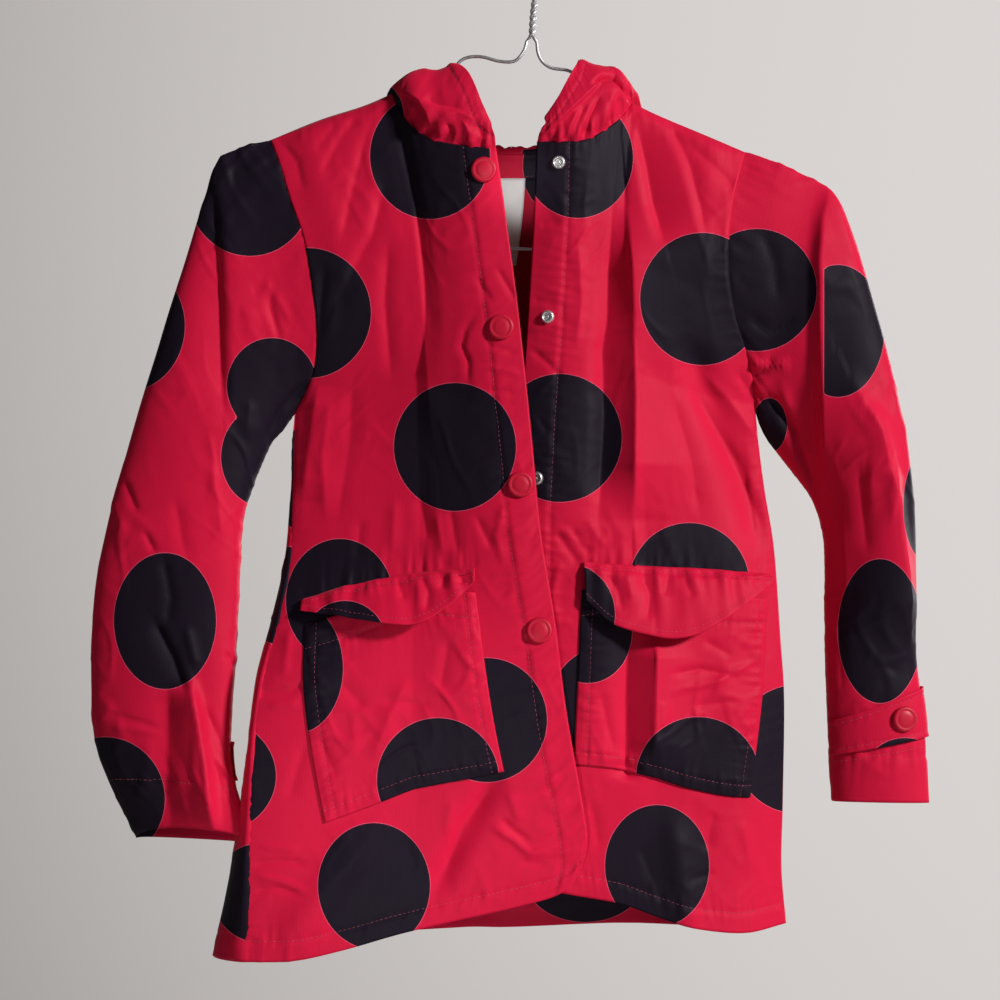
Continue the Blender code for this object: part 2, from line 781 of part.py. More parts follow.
def hanger():
    """One wire for the arms and the bar, with the twisted neck and the hook joined on."""
    right, left = smooth_line(ARM_R), smooth_line(ARM_L)
    bar = smooth_line((ARM_R[-1], *BAR, ARM_L[-1]))
    frame = [right(i / ARM_POINTS) for i in range(1, ARM_POINTS)]
    frame += [bar(i / BAR_POINTS) for i in range(BAR_POINTS + 1)]
    frame += [left(1 - i / ARM_POINTS) for i in range(1, ARM_POINTS)]
    frame.append(place(*TWIST_START))
    frame_mesh = wire_tube("frame", frame, WIRE, cyclic=True)
    neck_mesh = wire_tube("neck", [place(*row) for row in NECK_LINE], NECK_ROD)
    hook = [place(*row) for row in HOOK_STEM]
    centre_z = -HOOK_RADIUS + WIRE / 2
    first, last = (math.radians(angle) for angle in HOOK_ANGLES)
    for i in range(HOOK_POINTS + 1):
        angle = first + (last - first) * i / HOOK_POINTS
        x, z = HOOK_RADIUS * math.cos(angle), HOOK_RADIUS * math.sin(angle)
        hook.append(place(x, 0, centre_z + z))
    hook_mesh = wire_tube("hook", hook, WIRE)
    made = keep("hanger", frame_mesh, STEEL)
    for mesh in (neck_mesh, hook_mesh):
        cutter = bpy.data.objects.new("joined_" + mesh.name, mesh)
        CUTTERS.objects.link(cutter)
        cutter.hide_render = True
        cutter.display_type = "WIRE"
        union = made.modifiers.new(mesh.name, "BOOLEAN")
        union.operation = "UNION"
        union.object = cutter
    return made


clear_scene()
COAT = collection()
CUTTERS = bpy.data.collections.new("joined_pieces")
bpy.context.scene.collection.children.link(CUTTERS)
NYLON = material("spotted_nylon", (0.62, 0.015, 0.05), 0.42)
TAPE = material("label_tape", (0.85, 0.84, 0.82), 0.6)
ENAMEL = material("red_enamel", (0.6, 0.01, 0.05), 0.2)
BRIGHT = material("bright_metal", (0.75, 0.75, 0.76), 0.25, 1.0)
STEEL = material("hanger_steel", (0.42, 0.43, 0.45), 0.4, 1.0)

front_r = front_surface("front_r", EDGE_R, HEM_R, SIDE_R, ARMHOLE_R_FRONT, NECK_R, SHOULDER_R)
front_l = front_surface("front_l", EDGE_L, HEM_L, SIDE_L, ARMHOLE_L_FRONT, NECK_L, SHOULDER_L)
back = back_surface()
sleeve_r = sleeve_surface("sleeve_r", SLEEVE_R, ARMHOLE_R_FRONT, ARMHOLE_R_BACK, CUFF_RISE_R)
sleeve_l = sleeve_surface("sleeve_l", SLEEVE_L, ARMHOLE_L_FRONT, ARMHOLE_L_BACK, CUFF_RISE_L)
hood_r = hood_surface(HOOD_R, NECK_R, -1)
hood_l = hood_surface(HOOD_L, NECK_L, 1)

wall("front_r", spread(front_r), 15, 30, NYLON)
wall("front_l", spread(front_l), 15, 30, NYLON)
wall("back", spread(back, BACK_POWER), BACK_COLUMNS, 28, NYLON)
wall("sleeve_r", sleeve_r, 20, 20, NYLON, closed=True)
wall("sleeve_l", sleeve_l, 20, 20, NYLON, closed=True)
wall("hood_r", hood_r, 25, 11, NYLON)
wall("hood_l", hood_l, 25, 11, NYLON)


def pocket_out(a, b):
    return POCKET_LIFT + POCKET_GAPE * b**3 * math.sin(math.pi * a)


def flap_out(a, b):
    middle = math.sin(math.pi * min(max(a, 0.04), 0.96))
    return LIFT + FLAP_OVER * min((1 - b) * 8, 1) + FLAP_STAND * middle * (1 - b)


wall("pocket_r", laid_on(front_r, POCKET_R, pocket_out), 7, 8, NYLON)
wall("pocket_l", laid_on(front_l, POCKET_L, pocket_out), 7, 8, NYLON)
wall("flap_r", hung_between(front_r, FLAP_R_TOP, FLAP_R_LOW, flap_out), 11, 4, NYLON)
wall("flap_l", hung_between(front_l, FLAP_L_TOP, FLAP_L_LOW, flap_out), 11, 4, NYLON)


def band_surface(a, b):
    first, last = BAND_COLUMNS
    s = ((first + (last - first) * a) / BACK_COLUMNS) ** BACK_POWER
    low, high = BAND_ROWS
    t = low + (high - low) * b
    return back(s, t) + normal_at(back, s, t) * BAND_LIFT


wall("neck_band", band_surface, BAND_COLUMNS[1] - BAND_COLUMNS[0], 2, NYLON)


def label_surface(a, b):
    width = LABEL_WIDTH * (1 - 0.25 * (1 - b) ** 2)
    x = LABEL_X + (a - 0.5) * width - 3 * (1 - b)
    z = LABEL_TOP_Z - LABEL_DROP * (1 - b)
    s, t = find(back, x, z)
    return back(s, t) + normal_at(back, s, t) * (LIFT * 2 + 3 * (1 - b))


wall("label", label_surface, 3, 6, TAPE, thickness=LABEL_THICKNESS)


def tab_surface(sleeve, from_s, to_s):
    low, high = TAB_ROWS

    def at(a, b):
        s, t = from_s + (to_s - from_s) * a, high + (low - high) * b
        p = sleeve(s, t)
        out = (sleeve(s + 0.005, t) - sleeve(s - 0.005, t)).cross(sleeve(s, t + 0.01) - p).normalized()
        if out.dot(p - sleeve(0, t).lerp(sleeve(0.5, t), 0.5)) < 0:
            out = -out
        return p + out * TAB_LIFT

    return at


wall("tab_l", tab_surface(sleeve_l, *TAB_L_ROUND), 10, 2, NYLON)
wall("tab_r", tab_surface(sleeve_r, *TAB_R_ROUND), 9, 2, NYLON)


def cuff_cap(name, sleeve, s, t):
    out = normal_at(sleeve, s, t)
    if s > 0.5:
        out = -out
    base = sleeve(s, t) + out * (TAB_LIFT + WALL / 2 + SNAP_GAP)
    return cap(name, base, out)


cuff_cap("cuff_cap_l", sleeve_l, *find(sleeve_l, *CUFF_CAP_L, 0.2, 0.88))
cuff_cap("cuff_cap_r", sleeve_r, CUFF_CAP_R_ROUND, sum(TAB_ROWS) / 2)
for number, (x, z) in enumerate(CAPS_R, 1):
    snap_on(cap, f"cap_{number}", front_r, x, z)
for number, (x, z) in enumerate(STUDS_L, 1):
    snap_on(stud, f"stud_{number}", front_l, x, z)
hanger()
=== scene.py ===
# %% [markdown]
# # A child's spotted rain coat on a wire hanger
# A rain coat is flat pieces of coated nylon sewn edge to edge, hung from a bent wire. It could be
# made by simulating cloth from the flat pieces, but then every crease falls by chance. Here each
# piece is one smooth surface between its own seam lines, and the creases are laid on one by one.

# %% Load the frame
import math
from bisect import bisect_left
from collections import namedtuple

import bmesh
import bpy
from mathutils import Matrix, Vector, noise
from mathutils.bvhtree import BVHTree


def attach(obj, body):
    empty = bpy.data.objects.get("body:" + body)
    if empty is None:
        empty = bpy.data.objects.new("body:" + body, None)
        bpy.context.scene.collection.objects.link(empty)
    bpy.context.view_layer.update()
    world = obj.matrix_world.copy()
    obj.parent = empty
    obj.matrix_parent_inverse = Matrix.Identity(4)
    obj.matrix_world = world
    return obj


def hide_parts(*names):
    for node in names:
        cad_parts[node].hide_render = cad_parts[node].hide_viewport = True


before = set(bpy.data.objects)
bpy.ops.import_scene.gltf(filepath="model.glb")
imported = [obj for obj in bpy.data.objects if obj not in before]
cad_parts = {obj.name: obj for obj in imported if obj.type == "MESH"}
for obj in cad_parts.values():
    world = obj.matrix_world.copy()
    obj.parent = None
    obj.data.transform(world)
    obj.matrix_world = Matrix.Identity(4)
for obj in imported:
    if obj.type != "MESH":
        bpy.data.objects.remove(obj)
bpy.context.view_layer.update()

MM = 0.001

# %% [markdown]
# ## Camera, light and floor
# Cloth that hangs is best seen level and from far enough away that nothing swells towards the
# lens. A small lamp far off to the upper right rakes over the creases, and a pale room that is
# brightest behind the coat fills the shadows. Two narrow beams reach what would stay too dark:
# the inside of the neck and the hem. Everything that is placed one by one is given as the camera
# sees it, in thousandths of the picture's width, and `in_view` says where a point falls there.

# %% Camera
VIEW_DISTANCE = 1600.0
VIEW_SCALE = 0.65  # mm to a thousandth of the picture, in the hanger's plane
VIEW_X, VIEW_Z = -26.65, -384.8
SENSOR = 36.0

lens = bpy.data.cameras.new("camera")
lens.sensor_width = SENSOR
lens.lens = SENSOR * VIEW_DISTANCE / (VIEW_SCALE * 1000)
camera = bpy.data.objects.new("camera", lens)
camera.location = (VIEW_X * MM, -VIEW_DISTANCE * MM, VIEW_Z * MM)
camera.rotation_euler = (math.radians(90), 0, 0)
bpy.context.scene.collection.objects.link(camera)
bpy.context.scene.camera = camera
bpy.context.scene.view_settings.view_transform = "Standard"


def in_view(p):
    """Where the camera sees a point given in mm, in thousandths of the picture."""
    scale = VIEW_SCALE * (1 + p.y / VIEW_DISTANCE)
    return 500 + (p.x - VIEW_X) / scale, 500 - (p.z - VIEW_Z) / scale


print("focal length", round(lens.lens, 1), "mm")

# %% Light
MIDDLE = (-0.02, 0, -0.36)


def shine(name, kind, place, aim, power, **settings):
    """A lamp of one kind at one place, aimed at another."""
    light = bpy.data.lights.new(name, kind)
    light.energy = power
    for setting, value in settings.items():
        setattr(light, setting, value)
    made = bpy.data.objects.new(name, light)
    made.location = place
    made.rotation_euler = (Vector(aim) - Vector(place)).to_track_quat("-Z", "Y").to_euler()
    bpy.context.scene.collection.objects.link(made)


def lamp(name, place, size, power, colour):
    """A round lamp aimed at the middle of the coat."""
    shine(name, "AREA", place, MIDDLE, power, shape="DISK", size=size, color=colour)


def beam(name, place, aim, power, cone):
    """A narrow beam with a soft edge, for one part of the coat."""
    angle = math.radians(cone)
    shine(name, "SPOT", place, aim, power, spot_size=angle, spot_blend=1.0, shadow_soft_size=0.01)


lamp("key_lamp", (5.11, -3.73, 2.58), 1.0, 500, (1.0, 0.96, 0.94))
lamp("fill_lamp", (-1.3, -1.5, -0.2), 1.2, 0.6, (0.93, 0.95, 1.0))
lamp("back_lamp", (3.2, 4.6, 0.4), 1.2, 90, (0.96, 0.97, 1.0))
beam("neck_lamp", (-0.012, -1.6, -0.30), (-0.0135, 0.02, -0.176), 52, 2.3)
beam("hem_lamp", (-0.25, -1.7, -0.85), (-0.065, 0, -0.58), 30, 12)
print(len(bpy.data.lights), "lamps")

# %% [markdown]
# ## Materials from nodes
# Every finish below is a few textures sent through the same steps: a value is mapped to another
# range, two colours are mixed, a height becomes a bump. Each step is written once here.

# %% Node helpers


def new_material(name, colour, roughness, metallic=0.0):
    """A plain finish, with its node tree and its shader for what is added to it."""
    made = bpy.data.materials.new(name)
    made.use_nodes = True
    shader = made.node_tree.nodes["Principled BSDF"]
    shader.inputs["Base Color"].default_value = (*colour[:3], 1)
    shader.inputs["Roughness"].default_value = roughness
    shader.inputs["Metallic"].default_value = metallic
    return made, made.node_tree, shader


def node(tree, kind, **values):
    """A new node; each value sets its property of that name, or else its input."""
    new = tree.nodes.new("ShaderNode" + kind)
    for key, value in values.items():
        if hasattr(new, key):
            setattr(new, key, value)
        else:
            new.inputs[key].default_value = value
    return new


def texture(tree, kind, space, **values):
    """A texture's height, laid out in the space that is given."""
    new = node(tree, "Tex" + kind, **values)
    tree.links.new(space, new.inputs["Vector"])
    return new.outputs["Fac"]


def stretched(tree, space, scale):
    """A space with each of its three directions scaled."""
    new = node(tree, "Mapping", Scale=scale)
    tree.links.new(space, new.inputs["Vector"])
    return new.outputs["Vector"]


def ranged(tree, value, low, high, start=0.0, end=1.0, soft=False):
    """A value that goes from start to end, mapped to go from low to high."""
    new = node(tree, "MapRange", interpolation_type="SMOOTHSTEP" if soft else "LINEAR")
    for limit, number in (("From Min", start), ("From Max", end), ("To Min", low), ("To Max", high)):
        new.inputs[limit].default_value = number
    tree.links.new(value, new.inputs["Value"])
    return new.outputs["Result"]


def mixed(tree, factor, first, second):
    """A colour from the first to the second, each of them a colour or an output."""
    new = node(tree, "Mix", data_type="RGBA")
    tree.links.new(factor, new.inputs["Factor"])
    for slot, value in zip([s for s in new.inputs if s.type == "RGBA"], (first, second)):
        if isinstance(value, tuple):
            slot.default_value = value
        else:
            tree.links.new(value, slot)
    return [s for s in new.outputs if s.type == "RGBA"][0]


def bumped(tree, height, distance, strength, under=None):
    """A bump as deep as the distance in metres, laid over the one under it."""
    new = node(tree, "Bump", Strength=strength, Distance=distance)
    tree.links.new(height, new.inputs["Height"])
    if under:
        tree.links.new(under, new.inputs["Normal"])
    return new.outputs["Normal"]


# %% Room and floor
BRIGHT_SIDE = Vector((0.42, 0.90, 0.10)).normalized()
ROOM_COLOUR = (1.0, 0.95, 0.925, 1)
ROOM_DIM, ROOM_BRIGHT = 0.07, 0.72
DIM_UNTIL, BRIGHT_FROM = 0.52, 1.02  # as the cosine of the angle from the bright side
FLOOR_Z, FLOOR_HALF = -1.25, 2.4


def pale_room():
    """A room that is brightest behind the coat and to the right, as if lit from there."""
    world = bpy.data.worlds.new("pale_room")
    world.use_nodes = True
    tree = world.node_tree
    towards = node(tree, "VectorMath", operation="DOT_PRODUCT")
    towards.inputs[1].default_value = BRIGHT_SIDE
    tree.links.new(node(tree, "TexCoord").outputs["Generated"], towards.inputs[0])
    facing = towards.outputs["Value"]
    strength = ranged(tree, facing, ROOM_DIM, ROOM_BRIGHT, DIM_UNTIL, BRIGHT_FROM, soft=True)
    background = tree.nodes["Background"]
    background.inputs["Color"].default_value = ROOM_COLOUR
    tree.links.new(strength, background.inputs["Strength"])
    return world


def new_mesh(name, bm, finish):
    """Turns a bmesh into a smooth object with one material, and frees the bmesh."""
    mesh = bpy.data.meshes.new(name)
    bm.to_mesh(mesh)
    bm.free()
    mesh.shade_smooth()
    mesh.materials.append(finish)
    made = bpy.data.objects.new(name, mesh)
    bpy.context.scene.collection.objects.link(made)
    return made


bpy.context.scene.world = pale_room()
floor_paint, _, _ = new_material("floor_paint", (0.55, 0.52, 0.50), 0.8)
bm = bmesh.new()
bmesh.ops.create_grid(bm, x_segments=1, y_segments=1, size=FLOOR_HALF)
bmesh.ops.translate(bm, verts=bm.verts, vec=(0, 0, FLOOR_Z))
floor = new_mesh("floor", bm, floor_paint)
print("floor at", FLOOR_Z)

# %% [markdown]
# ## Lines and surfaces
# A pattern cutter thinks in seam lines. Each table row below is one point (x, depth, z) in mm:
# x runs to the wearer's left, depth comes out towards the front, z is up from the rail. A smooth
# line is drawn through the rows, and a panel is the Coons patch between its four lines, which is
# the surface a soap film would nearly make.

# %% Lines
SEAM_ALLOWANCE = 0.45  # mm that cloth stands off its seam line, to the front or to the back
INSET = 0.15  # mm that a sheet stops short of a seam, so that two sheets never touch there
CURVE_STEPS = 12  # short runs between two rows of a table


def place(x, depth, z):
    return Vector((x, -depth, z))


def smooth_line(rows):
    """A smooth line through (x, depth, z) rows, read by its share of length from 0 to 1."""
    points = [place(*row) for row in rows]
    ends = [2 * points[0] - points[1], *points, 2 * points[-1] - points[-2]]
    fine = []
    for a, b, c, d in zip(ends, ends[1:], ends[2:], ends[3:]):
        for step in range(CURVE_STEPS):
            t = step / CURVE_STEPS
            cubic = (3 * b - a - 3 * c + d) * t**3 + (2 * a - 5 * b + 4 * c - d) * t * t
            fine.append(0.5 * (cubic + (c - a) * t + 2 * b))
    fine.append(points[-1])
    reach = [0.0]
    for a, b in zip(fine, fine[1:]):
        reach.append(reach[-1] + (b - a).length)

    def at(share):
        goal = min(max(share, 0.0), 1.0) * reach[-1]
        i = min(max(bisect_left(reach, goal), 1), len(fine) - 1)
        return fine[i - 1].lerp(fine[i], (goal - reach[i - 1]) / (reach[i] - reach[i - 1]))

    return at


def ease(x):
    """From 0 to 1 with a soft start and end."""
    x = min(max(x, 0.0), 1.0)
    return x * x * (3 - 2 * x)


def reverse(line):
    return lambda share: line(1 - share)


def moved(line, depth=0.0, up=0.0):
    shift = place(0, depth, up)
    return lambda share: line(share) + shift


def chain(*parts):
    """One line from several: each (line, start, end) covers its own share."""

    def at(share):
        for line, start, end in parts:
            if share <= end:
                break
        return line((share - start) / (end - start))

    return at


arch = smooth_line(((0, 0, 0), (5, 0, 5), (10, 0, 0)))
print("a line through three points has its middle at", arch(0.5))

# %% Patches
def patch(bottom, top, first, last):
    """The smooth surface between four lines, s from first to last and t from bottom to top."""
    low, high = (bottom(0), bottom(1)), (top(0), top(1))

    def at(s, t):
        across = first(t).lerp(last(t), s)
        upward = bottom(s).lerp(top(s), t)
        return across + upward - low[0].lerp(low[1], s).lerp(high[0].lerp(high[1], s), t)

    return at


def column(rows, index, share):
    """One column of a table of shares, read smoothly between its rows."""
    for i in range(len(rows) - 1):
        if share <= rows[i + 1][0]:
            break
    a, b = rows[i], rows[i + 1]
    before, after = rows[max(i - 1, 0)], rows[min(i + 2, len(rows) - 1)]
    span = b[0] - a[0]
    t = (share - a[0]) / span
    slope_a = (b[index] - before[index]) / (b[0] - before[0]) * span
    slope_b = (after[index] - a[index]) / (after[0] - a[0]) * span
    soft = t * t * (3 - 2 * t)
    bend = (t**3 - 2 * t * t + t) * slope_a + (t**3 - t * t) * slope_b
    return a[index] + (b[index] - a[index]) * soft + bend


print("halfway between 10 and 20:", column(((0, 10), (1, 20)), 1, 0.5))

# %% [markdown]
# ## Where the large folds lie
# The biggest folds are shared with the hard model: each is a ridge or a trough along one straight
# run, as wide and as high as its row says. Smaller creases come later, on the finished sheets.

# %% Large folds
FOLDS = {
    # x, z of one end, x, z of the other, half width, height (under 0 for a trough)
    "front_r": ((-35, -568, -63, -620, 8, -4), (-120, -610, -150, -650, 12, 3)),
    "front_l": ((100, -300, 138, -397, 10, -5), (86, -606, 92, -645, 10, 4)),
    "back": (
        (-95, -215, -80, -430, 13, -6), (48, -300, 66, -600, 14, -7),
        (-30, -420, -45, -655, 14, 6), (100, -240, 120, -420, 11, 4),
        (-140, -380, -150, -640, 12, -5),
    ),
}
PAST_END = 1.6  # half widths over which a fold dies out beyond its ends


def fold_height(piece, x, z):
    """How far the folds of a piece lift or sink it at one place."""
    total = 0.0
    for x0, z0, x1, z1, width, height in FOLDS[piece]:
        run_x, run_z = x1 - x0, z1 - z0
        length = math.hypot(run_x, run_z)
        along = ((x - x0) * run_x + (z - z0) * run_z) / length
        off = ((x - x0) * run_z - (z - z0) * run_x) / length
        past = max(-along, along - length, 0.0)
        total += height * math.exp(-((off / width) ** 2) - (past / (PAST_END * width)) ** 2)
    return total


print(sum(map(len, FOLDS.values())), "large folds")

# %% [markdown]
# ## Seam lines of the body
# Two fronts and a back meet at the shoulders, the side seams and the neck. `_r` is the wearer's
# right. The right front laps over the left, so its edge stands further forward.

# %% Seam lines
NECK_R = (
    (-29, 26, -160), (-49, 25, -158), (-68, 21, -154), (-80, 16, -147), (-89, 10, -137),
    (-97, 0, -121),
)
NECK_L = (
    (-3, 22, -155), (16, 24, -155), (30, 21, -153), (41, 15, -146), (51, 9, -138), (60, 0, -127),
)
NECK_BACK = (
    (-97, 0, -121), (-90, -6, -131), (-80, -9, -139), (-66, -12, -147), (-43, -14, -153),
    (-19, -15, -155), (8, -14, -153), (30, -12, -148), (44, -9, -141), (54, -6, -134),
    (60, 0, -127),
)
SHOULDER_R = ((-97, 0, -121), (-116, 0, -129), (-144, 0, -138), (-176, 0, -151))
SHOULDER_L = ((60, 0, -127), (74, 0, -134), (100, 0, -145), (133, 0, -159))

ARMHOLE_R_FRONT = (
    (-160, 1, -328), (-152, 7, -314), (-146, 12, -296), (-145, 15, -272), (-148, 16, -246),
    (-153, 15, -217), (-162, 12, -191), (-170, 7, -166), (-176, 0, -151),
)
ARMHOLE_R_BACK = (
    (-160, 1, -328), (-158, -6, -310), (-156, -10, -287), (-156, -12, -260), (-159, -13, -234),
    (-163, -12, -208), (-168, -9, -182), (-173, -5, -162), (-176, 0, -151),
)
ARMHOLE_L_FRONT = (
    (139, 1, -323), (137, 6, -307), (132, 11, -288), (125, 15, -266), (121, 17, -240),
    (121, 16, -215), (124, 12, -191), (129, 6, -172), (133, 0, -159),
)
ARMHOLE_L_BACK = (
    (139, 1, -323), (137, -6, -303), (135, -10, -280), (133, -12, -254), (132, -13, -228),
    (132, -12, -205), (132, -9, -182), (132, -5, -168), (133, 0, -159),
)
SIDE_R = (
    (-189, 48, -676), (-187, 47, -606), (-184, 45, -545), (-179, 41, -500), (-169, 34, -462),
    (-162, 25, -423), (-161, 15, -385), (-161, 6, -352), (-160, 1, -328),
)
SIDE_L = (
    (158, 10, -658), (155, 10, -622), (156, 9, -580), (157, 8, -515), (155, 6, -476),
    (151, 4, -417), (145, 2, -378), (141, 1, -346), (139, 1, -323),
)

# Free edges of the two fronts, from the hem up.
EDGE_R = (
    (23, 53, -620), (28, 55, -602), (26, 55, -580), (15, 54, -517), (8, 51, -461), (-1, 46, -404),
    (-7, 40, -340), (-15, 33, -264), (-23, 28, -203), (-29, 26, -160),
)
EDGE_L = (
    (-8, 40, -629), (-12, 40, -593), (-15, 40, -536), (-17, 37, -468), (-17, 33, -404),
    (-14, 28, -340), (-9, 24, -269), (-5, 22, -206), (-3, 22, -155),
)
HEM_R = (
    (23, 53, -620), (11, 53, -632), (-14, 53, -640), (-83, 52, -656), (-125, 51, -668),
    (-157, 50, -675), (-189, 48, -676),
)
HEM_L = (
    (-8, 40, -629), (14, 41, -634), (49, 43, -640), (74, 42, -649), (100, 38, -657),
    (130, 29, -661), (158, 10, -658),
)
HEM_BACK = (
    (-189, 0, -676), (-158, 0, -676), (-86, 0, -669), (-15, 0, -667), (53, 0, -664), (118, 0, -664),
    (158, 0, -658),
)

# The back is deepest along its centre. Its right side turns forward to the side seam, and stands
# this far past that seam.
BACK_SHAPE = (
    # share of the height, depth at the centre, turn past the side seam
    (0.00, 27, 20),
    (0.12, 26, 13),
    (0.25, 25, 9),
    (0.42, 24, 9),
    (0.54, 22, 7),
    (0.655, 20, 1),
    (0.80, 19, 0),
    (0.92, 16, 0),
    (1.00, 14, 0),
)
TURN_SHARE = 0.045  # of the back's width over which it turns
SHOULDER_ROLL = 4.0  # mm the front comes forward just under the shoulder seam
FRONT_FULLNESS = 5.0  # mm the front swells in the middle
BACK_POWER = 1.3  # over 1, so that the back's grid is finest where its right side turns
print("right shoulder seam from", SHOULDER_R[0], "to", SHOULDER_R[-1])

# %% [markdown]
# ## The body's surfaces
# A front is the patch between its edge, hem, side and top, pushed forward in the middle because
# the wire fills the shoulders. The back is nearly flat, and its right side turns forward to meet
# the side seam, since the coat hangs a little twisted.

# %% Front and back surfaces
FRONT_WIDTH, COAT_LENGTH = 170.0, 500.0
UNDERARM, NECK_POINT, BACK_SHOULDER = 0.655, 0.5, 0.22
CHEST = 0.8  # share of a front's height above which it no longer swells
SHOULDER_FROM, SHOULDER_DEEP = 0.4, 0.2  # shares across and down of what the wire fills
EDGE_RAMP, SIDE_RAMP, TOP_RAMP = 25, 14, 12  # 1 over the share in which folds die out there
BACK_ROUND, BACK_FULL = 2.6, 0.75  # powers that shape the back's section from side to side
LEANS_FROM, LEANS_OVER = 0.9, 0.1  # share of its height where the back bends in to the neck
FULL_TURN = 20  # mm of turn at which the whole width of the turned strip is added to it
TUCK = 1.5  # mm the back and the sleeves reach under the fronts at their seams
SLEEVE_LENGTH = 450.0


def front_surface(piece, edge, hem, side, armhole, neck, shoulder):
    """A front panel: s from its free edge to the side, t from the hem to the shoulder."""
    top = chain((smooth_line(neck), 0, NECK_POINT), (smooth_line(shoulder), NECK_POINT, 1))
    last = chain((smooth_line(side), 0, UNDERARM), (smooth_line(armhole), UNDERARM, 1))
    lines = (smooth_line(hem), top, smooth_line(edge), last)
    base = patch(*(moved(line, SEAM_ALLOWANCE) for line in lines))
    end_s, end_t = 1 - INSET / FRONT_WIDTH, 1 - INSET / COAT_LENGTH

    def at(s, t):
        s, t = s * end_s, t * end_t
        p = base(s, t)
        swell = math.sin(math.pi * min(t / CHEST, 1) ** 1.5)
        bulge = FRONT_FULLNESS * (1 - abs(2 * s - 1) ** 4) * swell
        on_shoulder = min(max((s - SHOULDER_FROM) * 8, 0), 1) * ease((1 - s) * 6)
        on_shoulder *= math.exp(-(((1 - t) / SHOULDER_DEEP) ** 2))
        roll = SHOULDER_ROLL * on_shoulder * min((1 - t) * 90, 1)
        inside = min(s * EDGE_RAMP, (1 - s) * SIDE_RAMP, 1) * min((1 - t) * TOP_RAMP, 1)
        p.y -= bulge + roll + fold_height(piece, p.x, p.z) * inside
        return p

    return at


def back_surface():
    """The back: s from the right side seam to the left one, t from the hem to the neck."""
    top = chain(
        (reverse(smooth_line(SHOULDER_R)), 0, BACK_SHOULDER),
        (smooth_line(NECK_BACK), BACK_SHOULDER, 1 - BACK_SHOULDER),
        (smooth_line(SHOULDER_L), 1 - BACK_SHOULDER, 1),
    )
    side_r = smooth_line([(x, 1, z) for x, _, z in SIDE_R])
    first = chain((side_r, 0, UNDERARM), (smooth_line(ARMHOLE_R_BACK), UNDERARM, 1))
    last = chain((smooth_line(SIDE_L), 0, UNDERARM), (smooth_line(ARMHOLE_L_BACK), UNDERARM, 1))
    base = patch(smooth_line(HEM_BACK), top, first, last)
    seam_r = smooth_line(SIDE_R)
    inset_s, end_t = -TUCK / (2 * FRONT_WIDTH), 1 - INSET / COAT_LENGTH

    def at(s, t):
        s, t = inset_s + s * (1 - 2 * inset_s), t * end_t
        p = base(s, t)
        sides = first(t).lerp(last(t), s).y
        full = max(1 - abs(2 * s - 1) ** BACK_ROUND, 0.0) ** BACK_FULL
        near_top = max(0.0, (t - LEANS_FROM) / LEANS_OVER) ** 2
        body = sides * (1 - full) + column(BACK_SHAPE, 1, t) * full
        p.y = body + (top(s).y - body) * near_top + SEAM_ALLOWANCE
        if t < UNDERARM:
            near = s / TURN_SHARE
            width = last(t).x - first(t).x
            turn = column(BACK_SHAPE, 2, t) * (1 + TURN_SHARE * width / FULL_TURN)
            p.x -= turn * near * math.exp(0.5 - near * near / 2)
            seam_depth = -seam_r(t / UNDERARM).y
            p.y -= (seam_depth + SEAM_ALLOWANCE) * math.exp(-near * near)
        inside = min(s * SIDE_RAMP, (1 - s) * SIDE_RAMP, 1) * min((1 - t) * TOP_RAMP, 1)
        p.y += fold_height("back", p.x, p.z) * inside
        return p

    return at


front_r = front_surface("front_r", EDGE_R, HEM_R, SIDE_R, ARMHOLE_R_FRONT, NECK_R, SHOULDER_R)
front_l = front_surface("front_l", EDGE_L, HEM_L, SIDE_L, ARMHOLE_L_FRONT, NECK_L, SHOULDER_L)
back = back_surface()
print("centre of the right front:", [round(v) for v in front_r(0.5, 0.5)])

# %% [markdown]
# ## Sleeves
# A sleeve is one piece joined into a tube. It hangs empty, so each section is a flat lens
# between an upper and an under edge, and those edges are what gives the arm its bend. Near the
# armhole the tube is pulled onto the seam line of the body.

# %% Sleeve surfaces
# Each row is one height down the sleeve: the upper edge, the under edge, and how far the cloth
# stands in front of and behind the line between them.
SLEEVE_R = (
    # share, upper x, depth, z, under x, depth, z, front, back
    (0.00, -176, 0, -151, -160, 1, -328, 15, 13),
    (0.05, -196, 1, -157, -164, 1, -334, 14, 13),
    (0.09, -209, 2, -164, -169, 2, -341, 14, 13),
    (0.14, -217, 3, -185, -175, 3, -348, 15, 13),
    (0.22, -228, 4, -221, -182, 4, -364, 16, 13),
    (0.32, -241, 5, -263, -189, 6, -382, 17, 13),
    (0.42, -255, 6, -310, -194, 8, -405, 17, 13),
    (0.52, -269, 7, -358, -195, 10, -436, 17, 13),
    (0.62, -281, 8, -404, -196, 12, -464, 17, 13),
    (0.72, -289, 9, -452, -197, 16, -492, 16, 13),
    (0.82, -290, 11, -505, -199, 20, -524, 15, 12),
    (0.91, -285, 13, -550, -198, 27, -558, 13, 10),
    (1.00, -260, 16, -602, -185, 36, -603, 10, 8),
)
